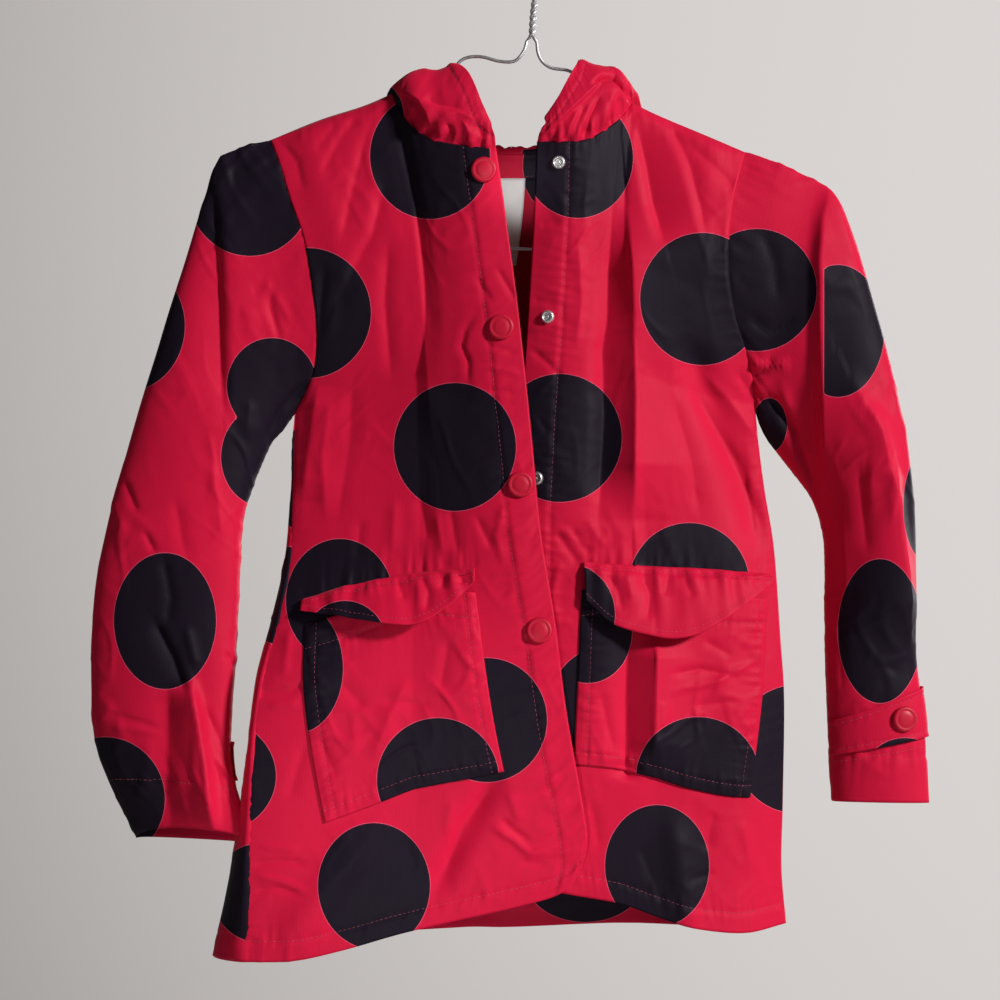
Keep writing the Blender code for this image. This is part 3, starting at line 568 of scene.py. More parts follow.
SLEEVE_L = (
    # share, upper x, depth, z, under x, depth, z, front, back
    (0.00, 133, 0, -159, 139, 1, -323, 16, 13),
    (0.05, 157, 1, -168, 142, -1, -335, 16, 14),
    (0.09, 179, 1, -178, 147, -2, -345, 16, 14),
    (0.14, 191, 2, -188, 156, -2, -357, 17, 14),
    (0.22, 203, 3, -217, 166, -1, -370, 18, 15),
    (0.32, 214, 4, -254, 177, 1, -387, 19, 16),
    (0.42, 226, 5, -298, 183, 3, -408, 19, 17),
    (0.52, 236, 6, -345, 184, 4, -432, 19, 17),
    (0.62, 241, 7, -392, 184, 5, -458, 19, 17),
    (0.72, 242, 8, -440, 184, 6, -486, 19, 17),
    (0.82, 242, 8, -484, 185, 7, -513, 18, 16),
    (0.91, 247, 9, -529, 186, 8, -544, 17, 15),
    (1.00, 250, 10, -580, 188, 9, -579, 15, 13),
)
CUFF_RISE_R, CUFF_RISE_L = 9.0, 1.0  # mm the front of a cuff is above its back
HELD_BY_SEAM = 0.3  # share of a sleeve that the armhole's seam still shapes
FLATNESS = 0.8  # under 1, a section is fuller than an ellipse near its edges


def sleeve_surface(rows, armhole_front, armhole_back, cuff_rise):
    """A sleeve: s once round from the upper edge across the front, t from armhole to cuff."""
    front, behind = smooth_line(armhole_front), smooth_line(armhole_back)
    start = -TUCK / SLEEVE_LENGTH

    def ring(angle, t):
        down = (1 - math.cos(angle)) / 2
        upper = place(*(column(rows, i, t) for i in (1, 2, 3)))
        under = place(*(column(rows, i, t) for i in (4, 5, 6)))
        p = upper.lerp(under, down)
        out = math.sin(angle)
        stand = column(rows, 7 if out > 0 else 8, t)
        p.y -= stand * math.copysign(abs(out) ** FLATNESS, out)
        return p

    def at(s, t):
        t = start + t * (1 - start)
        angle = 2 * math.pi * s
        down = (1 - math.cos(angle)) / 2
        p = ring(angle, t)
        hold = max(0.0, 1 - t / HELD_BY_SEAM) ** 2
        seam_at = front(1 - down) if math.sin(angle) >= 0 else behind(1 - down)
        p += (seam_at - ring(angle, 0)) * hold
        p.z += cuff_rise * max(0.0, math.sin(angle)) * t**10
        return p

    return at


sleeve_r = sleeve_surface(SLEEVE_R, ARMHOLE_R_FRONT, ARMHOLE_R_BACK, CUFF_RISE_R)
sleeve_l = sleeve_surface(SLEEVE_L, ARMHOLE_L_FRONT, ARMHOLE_L_BACK, CUFF_RISE_L)
print("right cuff ends near", [round(v) for v in sleeve_r(0.25, 1)])

# %% [markdown]
# ## Hood
# The hood is two halves with a seam over the head. With nobody in it, it rises a little from the
# neckline, falls over the wire and hangs behind as a pouch, its face edge uppermost. One row of
# the table is one way from the neckline to the face edge.

# %% Hood surfaces
# Each row is one way from the neck seam to the face edge: up, over the wire, down behind, and up
# again to the rim. The share is how far along the half neckline it starts, from the front edge.
HOOD_R = (
    # share, then (x, depth, z) of rise, ridge, fall, return and rim
    (0.00, (-29.5, 27, -156), (-30, 27, -152), (-31, 27, -149), (-32, 27, -146), (-33, 26, -143)),
    (0.12, (-48, 27, -151), (-46, 27, -146), (-44, 27, -141), (-41, 26, -136), (-38, 24, -131)),
    (0.25, (-66, 25, -143), (-61, 24, -132), (-56, 21, -122), (-51, 17, -113), (-48, 14, -108)),
    (0.36, (-79, 19, -129), (-70, 13, -115), (-62, 7, -106), (-59, 2, -102), (-60, -5, -102)),
    (0.42, (-85, 12, -117), (-74, 5, -107), (-68, -5, -106), (-66, -14, -111), (-64, -20, -117)),
    (0.50, (-93, 3, -114), (-85, 0, -109), (-79, -10, -112), (-75, -22, -121), (-70, -31, -131)),
    (0.60, (-99, -9, -123), (-103, -20, -136), (-98, -34, -160), (-88, -43, -158), (-76, -44, -146)),
    (0.75, (-78, -18, -148), (-92, -26, -188), (-87, -40, -240), (-76, -54, -204), (-58, -53, -164)),
    (0.88, (-48, -20, -155), (-57, -29, -210), (-56, -43, -270), (-50, -59, -226), (-38, -58, -180)),
    (1.00, (-19, -21, -157), (-19, -30, -215), (-19, -45, -278), (-19, -61, -232), (-19, -60, -187)),
)
HOOD_L = (
    # share, then (x, depth, z) of rise, ridge, fall, return and rim
    (0.00, (-2, 24, -152), (-1, 25, -149), (1, 25, -146), (2.5, 25, -143), (4, 24, -140)),
    (0.12, (16, 26, -148), (15, 26, -142), (13, 25, -136), (12, 23, -130), (12, 21, -125)),
    (0.25, (34, 23, -140), (30, 21, -129), (26, 18, -119), (22, 15, -111), (21, 13, -106)),
    (0.36, (45, 17, -126), (38, 13, -112), (31, 8, -104), (27, 3, -100), (27, -4, -100)),
    (0.42, (51, 12, -118), (44, 5, -106), (38, -5, -103), (35, -14, -108), (32, -20, -114)),
    (0.50, (58, 4, -118), (53, 0, -108), (46, -10, -110), (40, -22, -119), (34, -31, -129)),
    (0.60, (63, -9, -128), (66, -20, -139), (60, -34, -161), (50, -43, -158), (39, -44, -146)),
    (0.75, (41, -18, -149), (54, -26, -189), (49, -40, -240), (38, -54, -204), (21, -53, -164)),
    (0.88, (11, -20, -155), (19, -29, -210), (18, -43, -270), (12, -59, -226), (1, -58, -180)),
    (1.00, (-19, -21, -157), (-19, -30, -215), (-19, -45, -278), (-19, -61, -232), (-19, -60, -187)),
)
HOOD_TUCK = (-0.8, -1.2)  # mm its raw edge lies behind and below the neck seam
HOOD_BEHIND_SEAM = 3.0  # mm it stands behind the back's own neckline
GATHERS, GATHER_HEIGHT = 7, 1.3  # along the front of the neckline on each side, and mm
GATHER_MIDDLE, GATHER_SPREAD = 0.12, 0.13  # where they are highest, as a share of the way up


def hood_surface(rows, neck, side):
    """Half the hood: s from the front edge to the centre seam, t from the neck to the rim."""
    behind = smooth_line(NECK_BACK) if side < 0 else reverse(smooth_line(NECK_BACK))
    half_behind = moved(lambda share: behind(share / 2), -HOOD_BEHIND_SEAM)
    start = moved(smooth_line(neck), SEAM_ALLOWANCE)
    neckline = moved(chain((start, 0, NECK_POINT), (half_behind, NECK_POINT, 1)), *HOOD_TUCK)
    ways = {}

    def way(s):
        if s not in ways:
            points = [neckline(s)]
            for stop in range(1, 6):
                flat = [(row[0], *row[stop]) for row in rows]
                points.append(place(*(column(flat, i, s) for i in (1, 2, 3))))
            ways[s] = smooth_line([(p.x, -p.y, p.z) for p in points])
        return ways[s]

    def at(s, t):
        p = way(s)(t)
        p.x += side * INSET * s**20
        waves = math.sin(2 * math.pi * GATHERS * s / NECK_POINT) if s < NECK_POINT else 0.0
        high = GATHER_HEIGHT * math.exp(-(((t - GATHER_MIDDLE) / GATHER_SPREAD) ** 2))
        p.y -= high * waves * min(s * 20, 1)
        return p

    return at


hood_r = hood_surface(HOOD_R, NECK_R, -1)
hood_l = hood_surface(HOOD_L, NECK_L, 1)
print("lowest of the pouch:", round(hood_r(1, 0.6).z), "mm")

# %% [markdown]
# ## Where the small pieces go
# Pockets, flaps, tabs, the neck band and the label are placed by a few numbers each, as a maker
# would chalk them on the cloth. Lifts say how far each lies above what it is sewn to.

# %% Places of the small pieces
# Corners as (x, z): top at the edge, top at the side, bottom at the side, bottom at the edge.
POCKET_R = ((-42, -443), (-150, -464), (-137, -588), (-24, -555))
POCKET_L = ((25, -442), (146, -448), (133, -575), (20, -552))
POCKET_LIFT, POCKET_RISE = 1.0, 1.7  # mm off the front at its sewn edges, and more inside them
POCKET_GAPE = 1.2  # mm the mouth stands off further in its middle
FLAP_R_TOP = ((-42, -428), (-77, -431), (-115, -438), (-152, -448))
FLAP_R_LOW = ((-42, -436), (-58, -453), (-84, -465), (-152, -456))
FLAP_L_TOP = ((26, -424), (66, -427), (106, -429), (147, -433))
FLAP_L_LOW = ((27, -448), (48, -466), (92, -472), (147, -438))
FLAP_LIFT, FLAP_OVER = 1.2, 3.4  # mm off the front at its seam, and more over the pocket's mouth
FLAP_STAND = 12.0  # mm its free edge stands off further in the middle
CAPS_R = ((-37, -174), (-26, -275), (-14, -375), (-2, -467))
STUDS_L = ((11, -169), (4, -268), (-3, -371), (-2, -467))
TAB_LIFT = 2.1
TAB_ROWS = (0.865, 0.925)  # from where to where down the sleeve
TAB_R_ROUND = (0.5, 0.95)  # how far round the sleeve each tab runs, from the upper edge
TAB_L_ROUND = (-0.05, 0.45)
CUFF_CAP_R_ROUND = 0.78
CUFF_CAP_L_X = 232
BAND_LIFT = 1.9
BAND_ROWS = (0.957, 0.993)  # from where to where up the back
BAND_COLUMNS = (9 / 26, 21 / 26)
LABEL_X, LABEL_TOP_Z = -22.0, -174.0
LABEL_WIDTH, LABEL_DROP = 24.0, 57.0
LABEL_LIFT = 3.2  # mm off the back at its top
LABEL_SWING = 3.0  # mm its foot is further off the back, and as much to the side
print("pocket corners:", POCKET_R, POCKET_L)

# %% [markdown]
# ## Spots
# Large dots are printed on the cloth before it is cut, so seams and edges slice through them and
# they wrap round the sleeves. A picture texture would need an image; instead every point of a
# sheet keeps its distance in mm to the nearest spot's edge, under 0 inside. The material turns
# that one number into a crisp edge, however coarse the mesh is.

# %% Spots
# Each row is the centre as the camera sees it, the half width and the half height. Where two
# numbers follow, the spot shows only between those two places from left to right.
SPOTS = {
    "front_r": (
        (430, 156, 60, 63), (308, 313, 63, 65), (455, 447, 61, 64), (340, 601, 54, 62),
        (487, 720, 60, 62), (374, 886, 56, 63), (214, 776, 62, 57),
    ),
    "front_l": (
        (578, 158, 55, 60), (702, 299, 62, 66), (560, 438, 62, 64), (689, 584, 60, 61),
        (657, 866, 52, 61), (796, 749, 62, 64), (612, 703, 62, 58),
    ),
    "pocket_r": ((297, 668, 46, 65), (438, 780, 61, 62)),
    "pocket_l": ((588, 632, 44, 51), (698, 779, 62, 62)),
    "flap_r": ((345, 645, 42, 44),),
    "flap_l": ((571, 615, 44, 50),),
    "sleeve_r": (
        (250, 194, 61, 62), (125, 326, 60, 66), (272, 386, 45, 48), (262, 457, 41, 49),
        (165, 621, 51, 68), (105, 799, 60, 62),
    ),
    "sleeve_l": (
        (757, 290, 60, 61, 0, 821), (838, 331, 46, 66, 824, 999), (770, 425, 17, 27),
        (880, 631, 42, 72), (927, 506, 24, 56),
    ),
    "tab_l": ((905, 777, 42, 39),),
    "hood_r": ((378, 116, 26, 34), (430, 330, 60, 60)),
    "hood_l": ((560, 250, 58, 58),),
    "neck_band": ((575, 165, 52, 54),),
    "back": (
        (575, 165, 54, 56), (262, 893, 50, 50), (290, 597, 50, 50), (585, 878, 60, 44),
        (345, 250, 60, 62), (690, 300, 60, 62), (470, 400, 60, 62), (330, 480, 60, 62),
        (640, 520, 60, 62), (460, 640, 60, 62), (740, 700, 60, 62), (400, 820, 60, 62),
    ),
}
FAR_FROM_SPOT = 60.0


def spot_edge(piece, p):
    """Distance in mm from a point to the nearest spot's edge on its piece, under 0 inside."""
    x, y = in_view(p)
    nearest = FAR_FROM_SPOT
    for mid_x, mid_y, wide, high, *shown in SPOTS.get(piece, ()):
        edge = (math.hypot((x - mid_x) / wide, (y - mid_y) / high) - 1) * (wide + high) / 2
        if shown:
            edge = max(edge, shown[0] - x, x - shown[1])
        nearest = min(nearest, edge * VIEW_SCALE)
    return nearest


print(sum(map(len, SPOTS.values())), "spots")

# %% [markdown]
# ## Spotted nylon
# Rain-coat nylon is a fine plain weave with a coating: it has a soft satin shine, faint streaks
# along its threads, and a sharp crinkle. The weave follows the sheet's own UV map, which is in
# metres of flat cloth, so its threads stay the right size. The inside is duller, and its colour is
# painted darker as shade inside the coat.

# %% Nylon material
RED = (0.68, 0.0070, 0.050, 1)
NAVY = (0.0105, 0.0060, 0.0150, 1)
HALO = (0.82, 0.10, 0.19, 1)
HALO_WIDTH = 0.34  # mm of paler cloth round a spot
PRINT_BLUR = 0.1  # mm over which a spot's edge goes from one colour to the other
THREADS = 180.0
SATIN, SHEEN, SHEEN_SPREAD = 0.11, 0.04, 0.4
BUMP_STRENGTH = 0.6


def spotted(tree):
    """The print: navy inside a spot's edge, a thin pale line along it and red outside."""
    edge = node(tree, "Attribute", attribute_name="spot_edge").outputs["Fac"]
    off_navy = ranged(tree, edge, 0, 1, -PRINT_BLUR, PRINT_BLUR, soft=True)
    on_red = ranged(tree, edge, 0, 1, HALO_WIDTH * 0.6, HALO_WIDTH * 1.4, soft=True)
    return mixed(tree, on_red, mixed(tree, off_navy, NAVY, HALO), RED)


def nylon(name, brightness, roughness):
    """Coated nylon with its print, threads both ways, slubs along the warp and fine crumples."""
    made, tree, shader = new_material(name, RED, roughness)
    where = node(tree, "TexCoord")
    flat, solid = where.outputs["UV"], where.outputs["Object"]

    uneven = texture(tree, "Noise", solid, Scale=9.0, Detail=4.0, Roughness=0.6)
    shaded = node(tree, "VectorMath", operation="SCALE")
    tree.links.new(spotted(tree), shaded.inputs[0])
    shade = ranged(tree, uneven, brightness * 0.88, brightness * 1.10)
    tree.links.new(shade, shaded.inputs["Scale"])
    tree.links.new(shaded.outputs["Vector"], shader.inputs["Base Color"])

    ridged = {"noise_type": "RIDGED_MULTIFRACTAL"}
    tall = stretched(tree, solid, (1, 1, 0.55))
    along_warp = stretched(tree, flat, (900, 40, 1))
    threads = {"wave_type": "BANDS", "Scale": THREADS, "Distortion": 0.6}
    slubs = texture(tree, "Noise", along_warp, Scale=1.0, Detail=2.0)
    normal = None
    for height, depth in (
        (texture(tree, "Noise", tall, Scale=30.0, Detail=1.5, **ridged), 0.0010),
        (texture(tree, "Noise", solid, Scale=70.0, Detail=3.0, **ridged), 0.00030),
        (slubs, 0.00003),
        (texture(tree, "Wave", flat, bands_direction="X", **threads), 0.00002),
        (texture(tree, "Wave", flat, bands_direction="Y", **threads), 0.00002),
    ):
        normal = bumped(tree, height, depth, BUMP_STRENGTH, normal)
    tree.links.new(normal, shader.inputs["Normal"])
    polish = ranged(tree, slubs, roughness - 0.06, roughness + 0.08)
    tree.links.new(polish, shader.inputs["Roughness"])
    shader.inputs["Specular IOR Level"].default_value = SATIN
    shader.inputs["Sheen Weight"].default_value = SHEEN
    shader.inputs["Sheen Roughness"].default_value = SHEEN_SPREAD
    return made


NYLON = nylon("spotted_nylon", 1.0, 0.56)
# the inside's colour is painted darker (0.85) as shade inside the coat; its higher roughness is real
# dullness
SHADED_REVERSE = nylon("spotted_nylon_reverse_shaded", 0.85, 0.62)
print("materials:", NYLON.name, SHADED_REVERSE.name)

# %% [markdown]
# ## Creases
# Folds alone look like soft rubber. Real nylon keeps sharp creases from being stuffed in a bag,
# puckers where thread pulls it, and is stiffer where it is doubled. Each row of the table is one
# crease as the camera sees it; `crinkle` adds small ones that nobody would place by hand.

# %% Creases
# Each row is the width on the right or above, the width on the left or below, the height in mm
# (under 0 for a trough), and then the path as the camera sees it, as x, y, x, y and so on.
CREASES = {
    "front_r": (
        (20, 75, 4.2, 412, 196, 416, 240, 421, 290, 425, 340, 429, 396, 434, 450),
        (30, 13, 4, 318, 384, 312, 430, 302, 500), (11, 5, -1.6, 370, 123, 352, 190, 341, 242),
        (9, 4, -1.3, 360, 112, 339, 140, 321, 175), (6, 4, -0.9, 340, 118, 314, 152),
        (4, 7, -1, 281, 142, 297, 161, 303, 190),
        (13, 6, -1.9, 385, 180, 372, 235, 348, 278, 325, 322),
        (5, 9, -1.6, 325, 262, 321, 308, 316, 350), (7, 9, 1.3, 352, 262, 336, 300, 328, 340),
        (8, 7, -1.7, 389, 240, 385, 300, 391, 378), (9, 7, 1.3, 330, 400, 322, 455, 326, 520),
        (8, 8, -1, 353, 380, 350, 440, 338, 520),
        (3, 5, -1.6, 476, 316, 466, 330, 462, 346, 469, 362, 468, 384),
        (3, 4, -1, 476, 276, 492, 302), (3, 4, -1.1, 497, 268, 517, 302),
        (3, 3, -0.9, 484, 344, 516, 353), (3, 3, 0.9, 488, 367, 521, 374),
        (3, 3, -0.8, 487, 390, 516, 393), (8, 7, -1.5, 420, 496, 428, 542),
        (6, 5, -1.3, 450, 508, 458, 556), (5, 5, 1, 436, 512, 444, 556),
        (5, 4, -1.3, 476, 516, 492, 550), (5, 4, 1.1, 505, 500, 496, 536, 504, 566),
        (7, 7, 1.1, 395, 500, 392, 552), (6, 6, -1, 361, 520, 357, 560),
        (3, 4, 2, 492, 826, 512, 838, 530, 853, 549, 849), (3, 3, -1.6, 500, 818, 516, 832, 530, 842),
        (4, 3, -1, 520, 862, 548, 866), (7, 4, -2.2, 490, 786, 462, 824, 442, 876),
        (8, 5, 1.2, 508, 790, 520, 822), (5, 4, -1.3, 548, 797, 566, 772),
        (4, 4, 1, 546, 812, 570, 800), (6, 6, 1, 452, 800, 446, 836),
        (3, 4, -1.5, 252, 864, 280, 861, 308, 863), (3, 4, 1.5, 254, 875, 280, 880, 308, 891),
        (3, 3, -1.3, 252, 892, 276, 888, 302, 895), (4, 3, 0.9, 258, 846, 300, 850),
        (4, 5, -1.5, 253, 694, 290, 691, 306, 682), (4, 4, 1.1, 268, 706, 300, 702),
        (9, 6, -1.6, 270, 622, 261, 660, 256, 690), (5, 6, 1.2, 290, 630, 284, 676),
        (8, 6, -1, 304, 745, 288, 800), (6, 6, -1, 404, 838, 416, 872),
    ),
    "front_l": (
        (17, 9, -4.5, 612, 206, 609, 260, 607, 320, 602, 350, 604, 420, 598, 524),
        (60, 19, 14, 627, 206, 631, 260, 633, 320, 635, 400, 634, 520),
        (5, 8, 1.4, 578, 236, 582, 300, 576, 350),
        (28, 7, -4.5, 636, 122, 646, 165, 652, 200, 664, 244),
        (20, 6, -3, 664, 112, 688, 160, 700, 204, 706, 236),
        (6, 6, -1.2, 690, 144, 714, 166, 738, 192), (5, 8, -2, 691, 388, 716, 430, 747, 476),
        (6, 6, 1.5, 702, 372, 730, 402, 762, 444), (5, 5, -1.3, 737, 372, 757, 404),
        (6, 6, -1.6, 718, 440, 742, 480, 760, 524), (9, 7, -1.3, 672, 400, 690, 460, 700, 520),
        (5, 6, 1.2, 748, 470, 758, 540), (3, 3, -1, 540, 226, 562, 221),
        (3, 4, -1.5, 532, 350, 547, 362, 562, 377), (3, 3, 0.9, 528, 331, 550, 326),
        (3, 3, 1, 536, 394, 553, 380), (3, 4, -1.2, 538, 418, 549, 433),
        (3, 3, -0.9, 532, 300, 556, 304), (5, 5, -1.8, 556, 531, 566, 546, 580, 565),
        (5, 4, -1.6, 570, 527, 584, 548, 598, 554), (5, 5, 1.3, 560, 560, 552, 596, 560, 634),
        (5, 5, 1.2, 586, 520, 606, 548), (9, 7, -1.4, 714, 810, 706, 852),
        (6, 5, -1, 640, 846, 654, 884), (8, 6, 1.2, 742, 820, 752, 872),
        (7, 6, -1.2, 590, 800, 600, 850), (4, 4, -1, 690, 880, 716, 872),
    ),
    "pocket_r": (
        (9, 9, -1.3, 338, 680, 364, 708), (13, 10, 1.6, 408, 678, 388, 720, 372, 762),
        (6, 7, -1.2, 318, 735, 336, 778), (8, 6, -1.3, 448, 640, 440, 690),
        (6, 6, -1, 380, 700, 430, 706), (4, 4, 1, 312, 672, 330, 690),
    ),
    "pocket_l": (
        (10, 14, -5, 629, 616, 627, 700, 627, 804), (30, 13, 8.5, 655, 634, 653, 700, 651, 768),
        (4, 5, -1.8, 670, 674, 700, 669, 738, 677), (4, 4, 1.5, 678, 690, 715, 682, 752, 664),
        (5, 5, -1.2, 704, 640, 732, 656), (5, 5, -1, 690, 706, 742, 700),
        (7, 6, -1.4, 600, 690, 614, 752), (6, 6, 0.9, 660, 700, 662, 730),
    ),
    "sleeve_r": (
        (6, 32, -4.6, 208, 182, 213, 200, 216, 240, 219, 293, 221, 350, 224, 414),
        (4, 5, -2, 275, 285, 269, 305, 280, 338), (4, 4, 1.5, 262, 280, 278, 300, 291, 321),
        (3, 4, -1.1, 252, 294, 267, 279), (3, 4, -1.1, 274, 266, 299, 253),
        (5, 5, 1, 240, 310, 262, 322), (4, 4, -1.3, 284, 338, 302, 352),
        (4, 5, -1.7, 124, 480, 137, 512), (5, 5, 1.1, 113, 500, 126, 536),
        (4, 4, -1.6, 144, 531, 155, 553), (8, 7, -1.3, 175, 500, 186, 560),
        (7, 7, 1.3, 214, 470, 222, 540), (6, 6, -2.2, 163, 556, 171, 600, 166, 626),
        (5, 10, -3.6, 152, 616, 174, 658, 186, 694), (6, 5, 2, 186, 626, 196, 668),
        (12, 22, -3.5, 168, 676, 167, 740, 166, 790, 172, 834),
        (6, 19, 9, 190, 676, 198, 720, 206, 770, 216, 834), (3, 4, -1.3, 108, 713, 156, 727),
        (3, 3, 1, 112, 726, 160, 734), (4, 4, -1.4, 226, 652, 238, 672),
        (4, 5, -1.5, 204, 706, 227, 754), (4, 4, 1.5, 206, 748, 231, 778),
        (8, 6, 1.2, 150, 745, 140, 800), (8, 7, -3.4, 312, 380, 298, 393, 282, 410, 270, 433, 270, 450),
        (7, 7, 1.4, 250, 400, 246, 440), (10, 8, -1.2, 236, 150, 232, 200),
    ),
    "sleeve_l": (
        (30, 7, 5, 830, 186, 822, 222, 819, 262, 820, 330, 824, 410, 826, 500),
        (10, 42, 10, 852, 380, 878, 430, 894, 500, 902, 570, 908, 650),
        (34, 4, -6, 768, 396, 790, 430, 808, 480, 822, 560, 828, 640),
        (7, 7, 1.5, 834, 196, 843, 230, 855, 266), (4, 6, 2.6, 748, 363, 770, 366, 791, 363),
        (4, 4, -2.2, 746, 384, 760, 374, 776, 358), (7, 6, -2, 748, 396, 772, 404, 800, 440),
        (8, 8, 1.8, 780, 380, 796, 430, 812, 470), (9, 7, 1.8, 876, 404, 894, 470, 887, 528),
        (8, 8, -1.6, 858, 462, 868, 556), (8, 8, 1.2, 842, 520, 846, 600),
        (7, 7, -1.4, 762, 232, 775, 262, 778, 300), (5, 5, -1.8, 746, 318, 770, 330, 798, 322),
        (7, 6, -1.3, 838, 620, 842, 690), (5, 5, -1, 866, 660, 900, 672),
        (6, 6, 1, 850, 716, 862, 760),
    ),
    "back": (
        (14, 9, -2.6, 400, 230, 408, 380, 396, 520), (12, 14, 2.4, 585, 220, 590, 360, 600, 480),
        (9, 13, -2.2, 640, 200, 652, 330, 668, 440), (12, 9, 2, 470, 330, 462, 470, 478, 600),
        (9, 12, -2.4, 350, 420, 338, 560, 330, 700), (10, 8, 1.8, 300, 560, 292, 700, 286, 840),
        (13, 9, -2.6, 540, 500, 556, 640, 548, 780), (10, 12, 2.2, 700, 420, 716, 560, 728, 700),
        (9, 11, -2, 640, 600, 660, 720, 668, 850), (12, 9, -2, 420, 640, 410, 760, 420, 880),
        (8, 6, -1.6, 330, 170, 352, 230, 362, 300), (6, 8, -1.6, 720, 190, 700, 250, 694, 320),
        (5, 5, -1.4, 480, 690, 520, 702, 566, 696), (5, 5, 1.3, 372, 520, 404, 530, 440, 522),
        (5, 5, -1.4, 606, 410, 640, 424, 678, 414), (4, 4, -1.4, 300, 872, 340, 866, 372, 874),
        (5, 4, 1.3, 590, 850, 640, 858, 690, 850),
    ),
    "hood_l": (
        (1.5, 22, 2.8, 612, 71, 590, 92, 565, 115, 541, 137),
        (2.5, 2.5, -6, 592, 86, 603, 78, 614, 78, 623, 86, 629, 99),
        (6, 3, -2.5, 600, 96, 590, 116, 584, 138), (5, 5, 1.8, 612, 92, 606, 112, 600, 132),
        (4, 4, -1.6, 620, 96, 616, 114, 609, 124), (4, 4, 1.6, 578, 110, 570, 126, 566, 138),
        (3, 4, -1.4, 586, 104, 578, 120, 574, 138),
    ),
    "hood_r": (
        (18, 1.5, 3.4, 399, 92, 410, 95, 420, 102, 427, 113, 430, 126),
        (8, 4, -2.2, 424, 100, 440, 105, 462, 108), (6, 6, 1.5, 440, 118, 456, 112, 476, 120),
        (4, 4, -1.8, 446, 122, 452, 134, 450, 146), (5, 4, 1.6, 462, 120, 470, 134, 468, 146),
        (4, 4, -1.3, 478, 124, 482, 138), (3, 3, -1.6, 432, 126, 438, 140),
        (3, 4, -2, 404, 104, 408, 118, 416, 132), (3, 3, 1.5, 412, 104, 418, 118),
    ),
    "flap_l": (
        (6, 5, -2, 606, 572, 618, 590, 622, 612), (7, 6, -2.2, 640, 572, 650, 592, 648, 622),
        (6, 5, -1.6, 668, 574, 664, 596), (5, 6, -1.4, 684, 576, 694, 598),
        (5, 5, 1.4, 626, 574, 632, 600),
    ),
    "flap_r": (
        (5, 5, -1.8, 420, 574, 428, 592, 426, 612), (5, 5, -1.6, 444, 572, 440, 590),
        (5, 5, -1.4, 396, 578, 404, 600), (4, 4, -1.4, 460, 572, 462, 584),
    ),
}
print(sum(map(len, CREASES.values())), "placed creases")

# %% Crease helpers
FADE, AT_END = 0.2, 0.12  # of a crease's length at each end, and of its height left there
REACH = 2.0  # widths from a crease to where it no longer matters


def placed_creases():
    """The table, each crease with its box and its straight runs, so that far ones are skipped."""
    placed = {}
    for piece, rows in CREASES.items():
        placed[piece] = []
        for right, left, height, *path in rows:
            xs, ys = path[::2], path[1::2]
            margin = REACH * max(right, left)
            box = (min(xs) - margin, max(xs) + margin, min(ys) - margin, max(ys) + margin)
            runs, before = [], 0.0
            for x0, y0, x1, y1 in zip(xs, ys, xs[1:], ys[1:]):
                length = math.hypot(x1 - x0, y1 - y0)
                runs.append((x0, y0, (x1 - x0) / length, (y1 - y0) / length, length, before))
                before += length
            placed[piece].append((box, runs, before, right, left, height))
    return placed


PLACED = placed_creases()


def creases(piece, x, y):
    """How far the placed creases lift or sink a sheet where the camera sees it at x, y."""
    total = 0.0
    for box, runs, whole, right, left, height in PLACED[piece]:
        if x < box[0] or x > box[1] or y < box[2] or y > box[3]:
            continue
        nearest, side, share = 1e9, 0.0, 0.0
        for x0, y0, run_x, run_y, length, before in runs:
            along = min(max((x - x0) * run_x + (y - y0) * run_y, 0.0), length)
            off = math.hypot(x - x0 - along * run_x, y - y0 - along * run_y)
            if off < nearest:
                nearest, share = off, (before + along) / whole
                side = (x - x0) * run_y - (y - y0) * run_x
        width = right if side > 0 else left
        ends = min(min(share, 1 - share) / FADE + AT_END, 1.0)
        total += height * ends * max(0.0, 1 - nearest / (REACH * width)) ** 2
    return total


print("one of them is", round(creases("front_r", 425, 340), 1), "mm high at its middle")

# %% Crinkle and seams
SEED_STEP = 1.618  # keeps each piece's noise off the flat spots of the noise lattice
# mm across and down in which the crinkle changes: its waves, its ridges one way and the other,
# and the patches of cloth that have ridges at all
SLOW_CELL, RIDGE_CELL, SLANT_CELL, PATCH_CELL = (33, 62), (21, 40), (30, 19), (48, 55)
CRINKLE_DEPTH = 30  # mm from front to back in which it changes
SHARP = 5  # how narrow a ridge is
GROOVE, PUCKER = 1.5, 5.5  # mm across a sewn groove, and along it from one pucker to the next


def crinkle(p, seed, size=1.0):
    """Small creases of stiff coated cloth: slow waves, with a sharp ridge here and there."""
    deep = seed * SEED_STEP + p.y / CRINKLE_DEPTH

    def waves(x, z, cell, layer):
        return noise.noise(Vector((x / cell[0], z / cell[1], deep + layer)))

    x, z = p.x + 0.35 * p.z, p.z
    wave = waves(x, z, SLOW_CELL, 0)
    ridge = max(0.0, 1 - SHARP * abs(waves(x, z, RIDGE_CELL, 5)))
    cross = max(0.0, 1 - SHARP * abs(waves(p.x, z - 0.5 * p.x, SLANT_CELL, 7)))
    where = max(0.0, 0.12 + waves(p.x, z, PATCH_CELL, 9))
    return size * (0.45 * wave + (1.3 * ridge + 1.1 * cross) * where)


def step(x, softness=0.6):
    """0 well below x = 0, 1 well above it."""
    return 1 / (1 + math.exp(-max(min(x / softness, 30), -30)))


def seam(off, along, seed, depth=0.7, pucker=0.5, reach=7.0):
    """A sewn line: off mm away from it, a groove where thread pulls and puckers beside it."""
    groove = -depth * math.exp(-((off / GROOVE) ** 2))
    gather = noise.noise(Vector((along / PUCKER, seed * SEED_STEP, off / 30)))
    return groove + pucker * (abs(gather) * 2.4 - 0.5) * math.exp(-abs(off) / reach)


print("a seam's groove is", round(-seam(0, 0, 0), 2), "mm deep")
